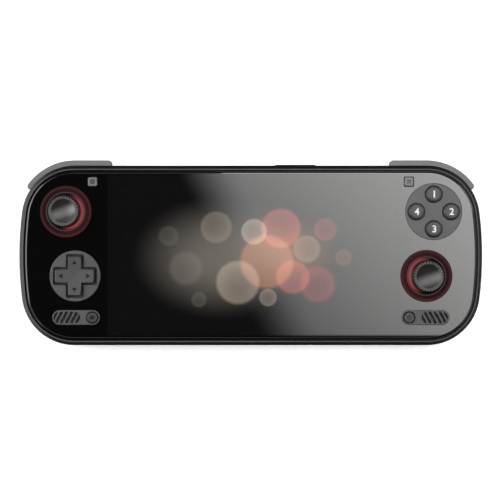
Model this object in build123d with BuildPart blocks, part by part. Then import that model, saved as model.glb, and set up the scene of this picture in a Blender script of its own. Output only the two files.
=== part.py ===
from build123d import *
from math import cos, degrees, radians, sin, sqrt
import os

os.makedirs("parts", exist_ok=True)

# A handheld game console, lying on its back with the screen up. X runs to the right along the
# long side, Y towards the shoulder buttons and Z out of the screen. The origin is on the surface
# that it lies on, under the middle of its outline. Lengths are millimetres, angles degrees.

# Display, and the body around it
display_width = 135.5
display_height = 75.9
display_thickness = 1.95
side_zone = 39.95
display_border = 3.85
side_radius = 165.0
corner_radius = 24.7
body_thickness = 14.0
rear_depth = 5.4
grip_proud = 2.4
shoulder_proud = 2.6

body_width = display_width + 2 * side_zone
body_height = display_height + 2 * display_border
body_y = -shoulder_proud / 2
edge_x = display_width / 2
top_y = body_height / 2
corner_y = top_y - corner_radius
corner_x = body_width / 2 - side_radius + sqrt((side_radius - corner_radius) ** 2 - corner_y**2)

# Fits
fit_gap = 0.05
panel_gap = 0.1
slide_gap = 0.2
running_gap = 0.3
overrun = 1.0

# Walls and layers, from the glass down
glass_thickness = 1.1
glass_inset = 2.8
glass_round = 1.05
rim_drop = 0.5
rim_chamfer = 1.65
rim_inner_chamfer = 0.4
frame_wall = 2.5
deck_thickness = 1.9
web_thickness = 1.1
insert_flange = 0.7
insert_flange_thickness = 0.85
insert_round = 0.3
rear_wall = 1.6
rear_side_wall = 1.8
rear_round = 4.0

back_z = grip_proud
floor_z = back_z + rear_wall
parting_z = back_z + rear_depth
face_z = back_z + body_thickness
rim_z = face_z - rim_drop
glass_z = face_z - glass_thickness
deck_z = glass_z - deck_thickness
seat_z = glass_z - insert_flange_thickness - fit_gap
web_top_z = glass_z - fit_gap - display_thickness - panel_gap
web_z = web_top_z - web_thickness

# Places of the controls: outwards from the display's ends, and in from the long edges
left_stick_out = 18.05
right_stick_out = 13.65
d_pad_out = 13.75
face_buttons_out = 17.05
pill_out = 13.25
square_out = 5.55
upper_row_drop = 21.5
lower_row_rise = 32.25
pill_rise = 13.0
square_drop = 7.65

upper_y = top_y - upper_row_drop
lower_y = -top_y + lower_row_rise
pill_y = -top_y + pill_rise
square_x = edge_x + square_out
square_y = top_y - square_drop
pill_x = edge_x + pill_out
d_pad_x = -edge_x - d_pad_out
face_buttons_x = edge_x + face_buttons_out
sticks = {"left": (-edge_x - left_stick_out, upper_y), "right": (edge_x + right_stick_out, lower_y)}
sides = {"left": -1, "right": 1}
outboard = {-1: Align.MAX, 1: Align.MIN}
upward = (Align.CENTER, Align.CENTER, Align.MIN)


def level(z, x=0.0, y=0.0):
    """A plane that faces up at height z, its origin x and y from the middle of the body."""
    return Plane((x, body_y + y, z))


def side_on(x, y, z):
    """An upright plane that faces the lower edge of the body, with its own y pointing up."""
    return Plane(origin=(x, body_y + y, z), x_dir=(1, 0, 0), z_dir=(0, -1, 0))


def end_on(x, y, z):
    """An upright plane that faces the right-hand end of the body, with its own y pointing up."""
    return Plane(origin=(x, body_y + y, z), x_dir=(0, 1, 0), z_dir=(1, 0, 0))


def at(x, y, z):
    """A place x and y from the middle of the body, at height z."""
    return (x, body_y + y, z)


class BodyOutline(BaseSketchObject):
    """The outline of the body, or the parallel curve that lies inset within it."""

    def __init__(self, inset=0.0, rotation=0, align=None, mode=Mode.ADD):
        with BuildSketch(mode=Mode.PRIVATE) as outline:
            Rectangle(body_width - 2 * inset, body_height - 2 * inset)
            for side in sides.values():
                with Locations((side * (body_width / 2 - side_radius), 0)):
                    Circle(side_radius - inset, mode=Mode.INTERSECT)
            fillet(outline.vertices(), corner_radius - inset)
        super().__init__(obj=outline.sketch, rotation=rotation, align=align, mode=mode)


class ShoulderCorner(BaseSketchObject):
    """What the body's outline, inset by so much, holds outboard of x and above y on one side."""

    def __init__(self, side, x, y, inset=0.0, rotation=0, align=None, mode=Mode.ADD):
        with BuildSketch(mode=Mode.PRIVATE) as corner:
            BodyOutline(inset)
            with Locations((side * x, y)):
                Rectangle(body_width, body_width, align=(outboard[side], Align.MIN), mode=Mode.INTERSECT)
        super().__init__(obj=corner.sketch, rotation=rotation, align=align, mode=mode)


class ShoulderBand(BaseSketchObject):
    """A band along one shoulder, from start_x round the corner to an angle seen from its centre."""

    def __init__(self, side, proud, depth, start_x, end_angle, rotation=0, align=None, mode=Mode.ADD):
        with BuildSketch(mode=Mode.PRIVATE) as band:
            BodyOutline(-proud)
            BodyOutline(depth, mode=Mode.SUBTRACT)
            with Locations((side * start_x, 0)):
                Rectangle(
                    body_width, body_width, align=(outboard[side], Align.CENTER), mode=Mode.INTERSECT
                )
            with Locations(Location((side * corner_x, corner_y, 0), (0, 0, side * end_angle))):
                Rectangle(
                    2 * body_width, body_width, align=(Align.CENTER, Align.MIN), mode=Mode.INTERSECT
                )
        super().__init__(obj=band.sketch, rotation=rotation, align=align, mode=mode)


# Sizes of the inserts that fill the holes in the glass
stick_bezel_radius = 12.05
d_pad_plate_radius = 11.85
face_plate_radius = 13.15
pill_length = 22.15
pill_height = 6.9
square_hole = 4.8
square_size = 4.25
square_round = 0.7

# Sizes of the round holes in the deck under them
d_pad_swing_radius = 11.2
face_buttons_radius = 13.05
pill_ledge = 0.8

# Rear screws, and the bosses that take them
rear_screw_inboard = 7.75
rear_screw_edge = 5.35
side_screw_inset = 6.65
side_screw_y = 8.0
rear_screw_radius = 0.9
rear_screw_head = 1.7
rear_screw_head_depth = 1.1
rear_boss_radius = 2.6
rear_screw_bite = 3.2

rear_screw_places = [
    (side * x, y)
    for side in sides.values()
    for x, y in (
        (edge_x - rear_screw_inboard, top_y - rear_screw_edge),
        (edge_x - rear_screw_inboard, rear_screw_edge - top_y),
        (body_width / 2 - side_screw_inset, side_screw_y),
    )
]

# Cover glass: one sheet over the whole front, its edge rounded, holed for the inserts
with BuildPart() as cover_glass:
    with BuildSketch(level(glass_z)):
        BodyOutline(glass_inset)
    extrude(amount=glass_thickness)
    fillet(cover_glass.faces().sort_by(Axis.Z)[-1].outer_wire().edges(), glass_round)
    with BuildSketch(level(glass_z)):
        with Locations(*sticks.values()):
            Circle(stick_bezel_radius + fit_gap)
        with Locations((d_pad_x, lower_y)):
            Circle(d_pad_plate_radius + fit_gap)
        with Locations((face_buttons_x, upper_y)):
            Circle(face_plate_radius + fit_gap)
        with Locations((-pill_x, pill_y), (pill_x, pill_y)):
            SlotOverall(pill_length + 2 * fit_gap, pill_height + 2 * fit_gap)
        with Locations((-square_x, square_y), (square_x, square_y)):
            RectangleRounded(square_hole, square_hole, square_round)
    extrude(amount=glass_thickness, mode=Mode.SUBTRACT)
cover_glass.part.label = "cover_glass"
export_step(cover_glass.part, "parts/cover_glass.step")

# Display panel: lies in the frame's pocket, close under the glass
with BuildPart() as display_panel:
    with BuildSketch(level(web_top_z + panel_gap)):
        Rectangle(display_width, display_height)
    extrude(amount=display_thickness)
display_panel.part.label = "display_panel"
export_step(display_panel.part, "parts/display_panel.step")

# Shoulder buttons: bumpers above, triggers behind them, each on its own pin
bumper_start_in = 3.05
bumper_end_angle = 32.6
bumper_depth = 1.6
bumper_round = 1.6
bumper_edge_round = 0.5
bumper_swing = 2.0
bumper_pin_out = 3.65
bumper_pin_drop = 2.35
bumper_boss_radius = 1.7
pin_radius = 0.8
corner_plate = 0.9
trigger_proud = 2.4
trigger_drop = 0.8
trigger_barrel_round = 2.0
trigger_end_round = 1.6
trigger_swing = 9.0
trigger_edge_round = 1.2
trigger_wall_in = 2.65
trigger_wall = 1.2
trigger_wall_drop = 11.15
trigger_lug_out = 25.2
trigger_lug_width = 1.6
trigger_lug_reach = 4.3
spring_out = 13.0
spring_length = 3.6
spring_turns = 6
spring_wire = 0.2
spring_radius = 1.5

bumper_start_x = edge_x - bumper_start_in
bumper_pin_x = edge_x + bumper_pin_out
bumper_pin_y = top_y - bumper_pin_drop
bumper_z = parting_z + corner_plate + slide_gap
bumper_top_z = deck_z - running_gap
bumper_pin_top_z = deck_z + deck_thickness / 2
bumper_arm = body_width / 2 - bumper_pin_x
bumper_travel = bumper_arm * sin(radians(bumper_swing))
bumper_window_angle = bumper_end_angle - degrees((bumper_travel + running_gap) / corner_radius)
trigger_wall_x = edge_x - trigger_wall_in
trigger_notch_x = trigger_wall_x + trigger_wall
trigger_wall_y = top_y - trigger_wall_drop
trigger_notch_y = trigger_wall_y + trigger_wall
trigger_x = trigger_notch_x + running_gap
trigger_y = trigger_notch_y + running_gap + slide_gap
trigger_z = back_z - trigger_drop
trigger_rise = (trigger_wall_drop - trigger_wall) * sin(radians(trigger_swing))
trigger_height = parting_z - running_gap - trigger_rise - trigger_z
trigger_pin_y = trigger_y + trigger_height / 2
trigger_pin_z = trigger_z + trigger_height / 2
trigger_lug_x = edge_x + trigger_lug_out
spring_x = edge_x + spring_out

for hand, side in sides.items():
    with BuildPart() as bumper:
        with BuildSketch(level(bumper_z)) as band:
            ShoulderBand(
                side, shoulder_proud, bumper_depth, bumper_start_x + slide_gap, bumper_end_angle
            )
            inner_end = band.vertices().sort_by(Axis.Y)[-2:].sort_by(Axis.X)[0 if side > 0 else -1]
            outer_end = band.vertices().sort_by(Axis.X)[-1 if side > 0 else 0]
            fillet([inner_end, outer_end], bumper_round)
        extrude(amount=bumper_top_z - bumper_z)
        rims = bumper.faces().filter_by(Axis.Z)
        fillet(rims.edges().group_by(SortBy.LENGTH)[-1], bumper_edge_round)
        with BuildSketch(level(bumper_z)):
            with Locations((side * bumper_pin_x, bumper_pin_y)):
                Circle(bumper_boss_radius)
        extrude(amount=bumper_top_z - bumper_z)
        with Locations(at(side * bumper_pin_x, bumper_pin_y, bumper_top_z)):
            Hole(pin_radius + fit_gap)
    bumper.part.label = f"{hand}_bumper"
    export_step(bumper.part, f"parts/{hand}_bumper.step")

    with BuildPart() as trigger:
        with BuildSketch(level(trigger_z)) as footprint:
            ShoulderCorner(side, trigger_x, trigger_y, -trigger_proud)
            outer_end = footprint.vertices().sort_by(Axis.X)[-1 if side > 0 else 0]
            fillet(outer_end, trigger_end_round)
        extrude(amount=trigger_height)
        barrel = trigger.edges().filter_by(Axis.X).group_by(Axis.Y)[0]
        fillet(barrel, trigger_barrel_round)
        skin = trigger.edges().group_by(Axis.Y)[-1]
        fillet(skin, trigger_edge_round)
        with BuildSketch(level(trigger_z)):
            with Locations((side * trigger_lug_x, trigger_y)):
                Rectangle(
                    trigger_lug_width + 2 * running_gap,
                    trigger_lug_reach + running_gap,
                    align=(Align.CENTER, Align.MIN),
                )
        extrude(amount=trigger_height, mode=Mode.SUBTRACT)
        with BuildSketch(end_on(side * spring_x, trigger_pin_y, trigger_pin_z)):
            Circle(spring_radius + spring_wire + 2 * running_gap)
        extrude(amount=spring_length / 2 + running_gap, both=True, mode=Mode.SUBTRACT)
        with BuildSketch(end_on(0, trigger_pin_y, trigger_pin_z)):
            Circle(pin_radius + fit_gap)
        extrude(amount=side * (trigger_lug_x + overrun), mode=Mode.SUBTRACT)
    trigger.part.label = f"{hand}_trigger"
    export_step(trigger.part, f"parts/{hand}_trigger.step")

# Pins of the shoulder buttons, one pair of each kind
with BuildPart() as bumper_pins:
    pin_z = parting_z + panel_gap
    with Locations(*[at(side * bumper_pin_x, bumper_pin_y, pin_z) for side in sides.values()]):
        Cylinder(pin_radius, bumper_pin_top_z - pin_z, align=upward)
bumper_pins.part.label = "bumper_pins"
export_step(bumper_pins.part, "parts/bumper_pins.step")

with BuildPart() as trigger_pins:
    for side in sides.values():
        with BuildSketch(end_on(side * (trigger_wall_x + panel_gap), trigger_pin_y, trigger_pin_z)):
            Circle(pin_radius)
        extrude(amount=side * (trigger_lug_x + trigger_lug_width / 2 - trigger_wall_x - 2 * panel_gap))
trigger_pins.part.label = "trigger_pins"
export_step(trigger_pins.part, "parts/trigger_pins.step")

# Torsion springs round the trigger pins
with BuildPart() as trigger_springs:
    for side in sides.values():
        coil_start = at(side * spring_x - spring_length / 2, trigger_pin_y, trigger_pin_z)
        with BuildLine() as coil:
            Helix(
                spring_length / spring_turns,
                spring_length,
                spring_radius,
                center=coil_start,
                direction=(1, 0, 0),
            )
        with BuildSketch(Plane(coil.line @ 0, z_dir=coil.line % 0)):
            Circle(spring_wire)
        sweep(path=coil.line, is_frenet=True)
trigger_springs.part.label = "trigger_springs"
export_step(trigger_springs.part, "parts/trigger_springs.step")

# Air: the fan under the board, its inlet in the back and the outlet in the upper edge
fan_x = -14.0
fan_drop = 32.35
fan_size = 36.0
fan_inlet_radius = 10.5
vent_slot = 1.5
vent_pitch = 2.6
vent_rows = 9
outlet_count = 13
outlet_height = 3.0
outlet_rise = 2.3
fan_y = top_y - fan_drop
fan_foot_y = fan_y - fan_size / 2
fan_outlet_y = fan_y + fan_size / 2

# Switches and boards that the buttons press on
board_thickness = 1.0
control_board_drop = 3.4
control_board_in = 4.75
control_board_inset = 4.5
control_screw_in = 2.25
control_screw_ys = (-20.0, 12.0)
control_screw_inset = 7.45
control_screw_outer_y = -14.0
control_boss_radius = 1.8
board_screw_radius = 0.7
board_screw_head = 1.4
board_screw_head_height = 0.7
board_screw_bite = 2.0
switch_size = 3.0
switch_height = 1.5
control_board_top_z = deck_z - control_board_drop
control_board_z = control_board_top_z - board_thickness
main_board_drop = 1.3
main_board_thickness = 0.9
main_board_in = 11.75
main_board_step_x = 8.0
main_board_top_drop = 4.85
main_boss_radius = 2.2
main_boss_inset = 4.0
main_board_half = edge_x - main_board_in
main_board_y = fan_foot_y + overrun
main_board_top_z = web_z - main_board_drop
main_board_z = main_board_top_z - main_board_thickness
control_screw_places = [
    (side * x, y)
    for side in sides.values()
    for x, y in (
        (edge_x - control_screw_in, control_screw_ys[0]),
        (edge_x - control_screw_in, control_screw_ys[1]),
        (body_width / 2 - control_screw_inset, control_screw_outer_y),
    )
]
main_screw_places = [
    (side * (main_board_half - main_boss_inset), y)
    for side in sides.values()
    for y in (main_board_y + main_boss_inset, fan_outlet_y - main_boss_inset)
]

# Stick mechanism: sizes shared by the frame, the boards and the sticks
pivot_drop = 5.0
stick_swing = 14.0
stick_click = 0.4
module_size = 18.7
module_dome_gap = 1.0
module_post = 8.05
module_post_radius = 1.4
pivot_z = face_z - pivot_drop
module_top_z = pivot_z - module_dome_gap - stick_click

# Side keys, card tray and socket, along the edges
key_start = 11.5
rocker_length = 18.8
key_split = 8.4
power_length = 9.0
key_height = 2.6
key_middle_rise = 2.4
rocker_proud = 0.6
power_proud = -0.22
key_flange = 0.9
key_flange_depth = 1.0
rocker_swing = 1.5
power_travel = 0.3
card_tray_x = -23.8
card_tray_width = 13.0
card_tray_height = 1.6
card_middle_rise = 2.9
socket_width = 9.0
socket_height = 3.2
socket_middle_rise = 2.5
key_z = parting_z + key_middle_rise
card_z = parting_z + card_middle_rise
socket_z = parting_z + socket_middle_rise
power_start = key_start + rocker_length + key_split
rocker_x = key_start + rocker_length / 2
power_x = power_start + power_length / 2
key_reach = frame_wall + running_gap + rocker_length / 2 * sin(radians(rocker_swing))

# Middle frame: wall, deck under the glass, web under the display and everything screwed to it
pocket_gap = 0.2
pocket_wall = 1.2
pocket_width = display_width + 2 * pocket_gap
pocket_height = display_height + 2 * pocket_gap
deck_well_radius = 9.95

with BuildPart() as mid_frame:
    with BuildSketch(level(parting_z)):
        BodyOutline()
        BodyOutline(frame_wall, mode=Mode.SUBTRACT)
    extrude(amount=rim_z - parting_z)
    rim = mid_frame.faces().sort_by(Axis.Z)[-1]
    chamfer(rim.outer_wire().edges(), rim_chamfer)
    rim = mid_frame.faces().sort_by(Axis.Z)[-1]
    chamfer(rim.inner_wires()[0].edges(), rim_inner_chamfer)
    with BuildSketch(level(deck_z)):
        BodyOutline(frame_wall)
    extrude(amount=glass_z - deck_z)
    with BuildSketch(level(web_z)):
        Rectangle(pocket_width + 2 * pocket_wall, body_height)
        BodyOutline(frame_wall, mode=Mode.INTERSECT)
    extrude(amount=deck_z - web_z)
    for side in sides.values():
        with BuildSketch(level(parting_z)):
            ShoulderCorner(side, trigger_wall_x, trigger_wall_y)
        extrude(amount=corner_plate)

    # Bosses for screws and posts for the stick modules
    with BuildSketch(level(parting_z)):
        with Locations(*rear_screw_places):
            Circle(rear_boss_radius)
    extrude(amount=deck_z - parting_z)
    with BuildSketch(level(main_board_top_z)):
        with Locations(*main_screw_places):
            Circle(main_boss_radius)
    extrude(amount=web_z - main_board_top_z)
    with BuildSketch(level(control_board_top_z)):
        with Locations(*control_screw_places):
            Circle(control_boss_radius)
    extrude(amount=deck_z - control_board_top_z)
    with BuildSketch(level(module_top_z)):
        for place in sticks.values():
            with Locations(place):
                with GridLocations(2 * module_post, 2 * module_post, 2, 2):
                    Circle(module_post_radius)
    extrude(amount=deck_z - module_top_z)

    # Rebate for the glass and pocket for the display
    with BuildSketch(level(glass_z)):
        BodyOutline(glass_inset - panel_gap)
    extrude(amount=overrun, mode=Mode.SUBTRACT)
    with BuildSketch(level(web_top_z)):
        Rectangle(pocket_width, pocket_height)
    extrude(amount=glass_z - web_top_z, mode=Mode.SUBTRACT)

    # Seats for the inserts, and the holes through the deck under them
    with BuildSketch(level(seat_z)):
        with Locations(*sticks.values()):
            Circle(stick_bezel_radius + insert_flange + panel_gap)
        with Locations((d_pad_x, lower_y)):
            Circle(d_pad_plate_radius + insert_flange + panel_gap)
        with Locations((face_buttons_x, upper_y)):
            Circle(face_plate_radius + insert_flange + panel_gap)
        with Locations((-pill_x, pill_y), (pill_x, pill_y)):
            reach = 2 * (insert_flange + panel_gap)
            SlotOverall(pill_length + reach, pill_height + reach)
    extrude(amount=glass_z - seat_z, mode=Mode.SUBTRACT)
    with BuildSketch(level(deck_z)):
        with Locations(*sticks.values()):
            Circle(deck_well_radius)
        with Locations((d_pad_x, lower_y)):
            Circle(d_pad_swing_radius)
        with Locations((face_buttons_x, upper_y)):
            Circle(face_buttons_radius)
        with Locations((-pill_x, pill_y), (pill_x, pill_y)):
            SlotOverall(pill_length - 2 * pill_ledge, pill_height - 2 * pill_ledge)
        with Locations((-square_x, square_y), (square_x, square_y)):
            RectangleRounded(square_hole, square_hole, square_round)
    extrude(amount=deck_thickness, mode=Mode.SUBTRACT)

    # Windows for the bumpers, and the holes for their pins, blind from below
    for side in sides.values():
        with BuildSketch(level(bumper_z - slide_gap)):
            ShoulderBand(side, overrun, frame_wall, bumper_start_x, bumper_window_angle)
        extrude(amount=bumper_top_z - bumper_z + 2 * slide_gap, mode=Mode.SUBTRACT)
    with BuildSketch(level(parting_z)):
        with Locations(*[(side * bumper_pin_x, bumper_pin_y) for side in sides.values()]):
            Circle(pin_radius + fit_gap)
    extrude(amount=bumper_pin_top_z + panel_gap - parting_z, mode=Mode.SUBTRACT)

    # Windows in the edges: keys, card tray, socket and air outlet
    with BuildSketch(side_on(0, top_y + overrun, key_z)):
        for key_x, key_length in ((rocker_x, rocker_length), (power_x, power_length)):
            with Locations((key_x, 0)):
                Rectangle(key_length + 2 * slide_gap, key_height + 2 * panel_gap)
    extrude(amount=frame_wall + 2 * overrun, mode=Mode.SUBTRACT)
    with BuildSketch(side_on(card_tray_x, -top_y - overrun, card_z)):
        Rectangle(card_tray_width + 2 * slide_gap, card_tray_height + 2 * slide_gap)
    extrude(amount=-(frame_wall + 2 * overrun), mode=Mode.SUBTRACT)
    with BuildSketch(side_on(0, -top_y - overrun, socket_z)):
        SlotOverall(socket_width + 2 * panel_gap, socket_height + 2 * panel_gap)
    extrude(amount=-(frame_wall + 2 * overrun), mode=Mode.SUBTRACT)
    with BuildSketch(side_on(fan_x, top_y + overrun, parting_z + outlet_rise)):
        with GridLocations(vent_pitch, 0, outlet_count, 1):
            SlotOverall(outlet_height, vent_slot, rotation=90)
    extrude(amount=frame_wall + 2 * overrun, mode=Mode.SUBTRACT)

    # Screw holes, blind from below
    with BuildSketch(level(parting_z)):
        with Locations(*rear_screw_places):
            Circle(rear_screw_radius + fit_gap)
    extrude(amount=rear_screw_bite + panel_gap, mode=Mode.SUBTRACT)
    with BuildSketch(level(main_board_top_z)):
        with Locations(*main_screw_places):
            Circle(board_screw_radius + fit_gap)
    extrude(amount=board_screw_bite + panel_gap, mode=Mode.SUBTRACT)
    with BuildSketch(level(control_board_top_z)):
        with Locations(*control_screw_places):
            Circle(board_screw_radius + fit_gap)
    extrude(amount=board_screw_bite + panel_gap, mode=Mode.SUBTRACT)
mid_frame.part.label = "mid_frame"
export_step(mid_frame.part, "parts/mid_frame.step")

# Rear shell: a tray with a rounded edge, two low grips and the pockets of the triggers
grip_out = 16.25
grip_rise = 27.35
grip_width = 26.0
grip_height = 46.0
grip_round = 11.0
grip_taper = 60.0
grip_crest_round = 5.0
rear_inner_round = 2.2
grip_y = grip_rise - top_y

with BuildPart() as rear_cavity:
    with BuildSketch(level(floor_z)):
        BodyOutline(rear_side_wall)
    extrude(amount=parting_z + overrun - floor_z)
    fillet(rear_cavity.faces().sort_by(Axis.Z)[0].outer_wire().edges(), rear_inner_round)
    for side in sides.values():
        with BuildSketch(level(floor_z, side * (edge_x + grip_out), grip_y)):
            RectangleRounded(grip_width - 2 * rear_wall, grip_height - 2 * rear_wall, grip_round - rear_wall)
        extrude(amount=grip_proud, dir=(0, 0, -1), taper=grip_taper)

with BuildPart() as rear_shell:
    with BuildSketch(level(back_z)):
        BodyOutline()
    extrude(amount=parting_z - back_z)
    fillet(rear_shell.faces().sort_by(Axis.Z)[0].outer_wire().edges(), rear_round)
    for side in sides.values():
        with BuildSketch(level(back_z, side * (edge_x + grip_out), grip_y)):
            RectangleRounded(grip_width, grip_height, grip_round)
        extrude(amount=grip_proud, dir=(0, 0, -1), taper=grip_taper)
    crests = rear_shell.faces().group_by(Axis.Z)[0]
    fillet(crests.edges(), grip_crest_round)
    add(rear_cavity.part, mode=Mode.SUBTRACT)

    # Bosses, and pockets that part the triggers from the inside
    with BuildSketch(level(floor_z - rear_wall / 2)):
        with Locations(*rear_screw_places):
            Circle(rear_boss_radius)
    extrude(amount=parting_z - floor_z + rear_wall / 2)
    for side in sides.values():
        with BuildSketch(level(floor_z - rear_wall / 2)):
            ShoulderCorner(side, trigger_wall_x, trigger_wall_y, rear_side_wall / 2)
        extrude(amount=parting_z - floor_z + rear_wall / 2)
        with BuildSketch(level(back_z - overrun)):
            ShoulderCorner(side, trigger_notch_x, trigger_notch_y, -overrun)
        extrude(amount=parting_z - back_z + 2 * overrun, mode=Mode.SUBTRACT)
        with BuildSketch(end_on(side * trigger_lug_x, trigger_notch_y, trigger_pin_z)):
            with Locations((trigger_pin_y - trigger_notch_y, 0)):
                Circle(bumper_boss_radius)
            Rectangle(
                trigger_pin_y - trigger_notch_y,
                2 * bumper_boss_radius,
                align=(Align.MIN, Align.CENTER),
            )
        extrude(amount=trigger_lug_width / 2, both=True)
        with BuildSketch(end_on(side * (trigger_wall_x - overrun), trigger_pin_y, trigger_pin_z)):
            Circle(pin_radius + fit_gap)
        extrude(
            amount=side * (trigger_lug_x + trigger_lug_width + overrun - trigger_wall_x),
            mode=Mode.SUBTRACT,
        )

    # Screw holes with sunk heads
    with BuildSketch(level(back_z)):
        with Locations(*rear_screw_places):
            Circle(rear_screw_radius + fit_gap)
    extrude(amount=parting_z - back_z, mode=Mode.SUBTRACT)
    with BuildSketch(level(back_z)):
        with Locations(*rear_screw_places):
            Circle(rear_screw_head + panel_gap)
    extrude(amount=rear_screw_head_depth + panel_gap, mode=Mode.SUBTRACT)

    # Air inlet: slots within a circle under the fan
    with BuildSketch(level(back_z, fan_x, fan_y)):
        for row in range(vent_rows):
            across = (row - (vent_rows - 1) / 2) * vent_pitch
            with Locations((0, across)):
                SlotOverall(2 * sqrt((fan_inlet_radius + vent_pitch) ** 2 - across**2), vent_slot)
    extrude(amount=rear_wall, mode=Mode.SUBTRACT)
rear_shell.part.label = "rear_shell"
export_step(rear_shell.part, "parts/rear_shell.step")

# Screws: six long ones from the back, ten short ones that hold the boards
screw_socket_share = 0.55

with BuildPart() as rear_screws:
    head_z = back_z + panel_gap / 2
    with BuildSketch(level(head_z)):
        with Locations(*rear_screw_places):
            Circle(rear_screw_head)
    extrude(amount=rear_screw_head_depth)
    with BuildSketch(level(head_z)):
        with Locations(*rear_screw_places):
            Circle(rear_screw_radius)
    extrude(amount=parting_z + rear_screw_bite - head_z)
    with BuildSketch(level(head_z)):
        with Locations(*rear_screw_places):
            RegularPolygon(screw_socket_share * rear_screw_head, 6)
    extrude(amount=rear_screw_head_depth / 2, mode=Mode.SUBTRACT)
rear_screws.part.label = "rear_screws"
export_step(rear_screws.part, "parts/rear_screws.step")

with BuildPart() as board_screws:
    for places, under_z, thickness in (
        (main_screw_places, main_board_z, main_board_thickness),
        (control_screw_places, control_board_z, board_thickness),
    ):
        with BuildSketch(level(under_z - board_screw_head_height)):
            with Locations(*places):
                Circle(board_screw_head)
        extrude(amount=board_screw_head_height)
        with BuildSketch(level(under_z - board_screw_head_height)):
            with Locations(*places):
                Circle(board_screw_radius)
        extrude(amount=board_screw_head_height + thickness + board_screw_bite)
board_screws.part.label = "board_screws"
export_step(board_screws.part, "parts/board_screws.step")

# Thumb sticks: a smoky bezel with a light ring under it, and a two-way gimbal on a module
lip_proud = 0.15
lip_width = 0.35
light_ring_inner = 10.1
light_ring_outer = 11.3
light_ring_height = 0.9
module_base_rise = 0.4
module_well_radius = 5.4
module_well_floor = 2.7
module_switch_radius = 2.4
module_switch_height = 0.8
module_bearing_half = 1.5
module_bearing_thickness = 1.5
module_bearing_rise = 1.2
yoke_outer = 4.8
yoke_inner = 3.4
yoke_height = 1.6
yoke_pin_radius = 0.6
hub_radius = 2.3
hub_height = 2.4
hub_pin_radius = 0.5
hub_pin_reach = 4.6
shaft_radius = 1.15
shaft_tail = 2.8
stem_radius = 2.6
dome_radius = 9.7
dome_gap = 0.35
dome_thickness = 0.7
dome_cover = 60.0
cap_lift = 4.8
cap_radius = 7.1
cap_height = 2.4
cap_rim = 1.5
cap_dish = 1.4
cap_edge_round = 0.45
cap_socket_radius = 3.2
cap_socket_depth = 0.45

cap_z = face_z + cap_lift
stem_start = hub_height / 2 + slide_gap + stick_click
dome_reach = dome_cover + stick_swing
stick_opening = sqrt((dome_radius + dome_gap) ** 2 - pivot_drop**2)
module_z = floor_z + module_base_rise
dish_chord = cap_radius - cap_rim
dish_radius = (dish_chord**2 + cap_dish**2) / (2 * cap_dish)

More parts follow.
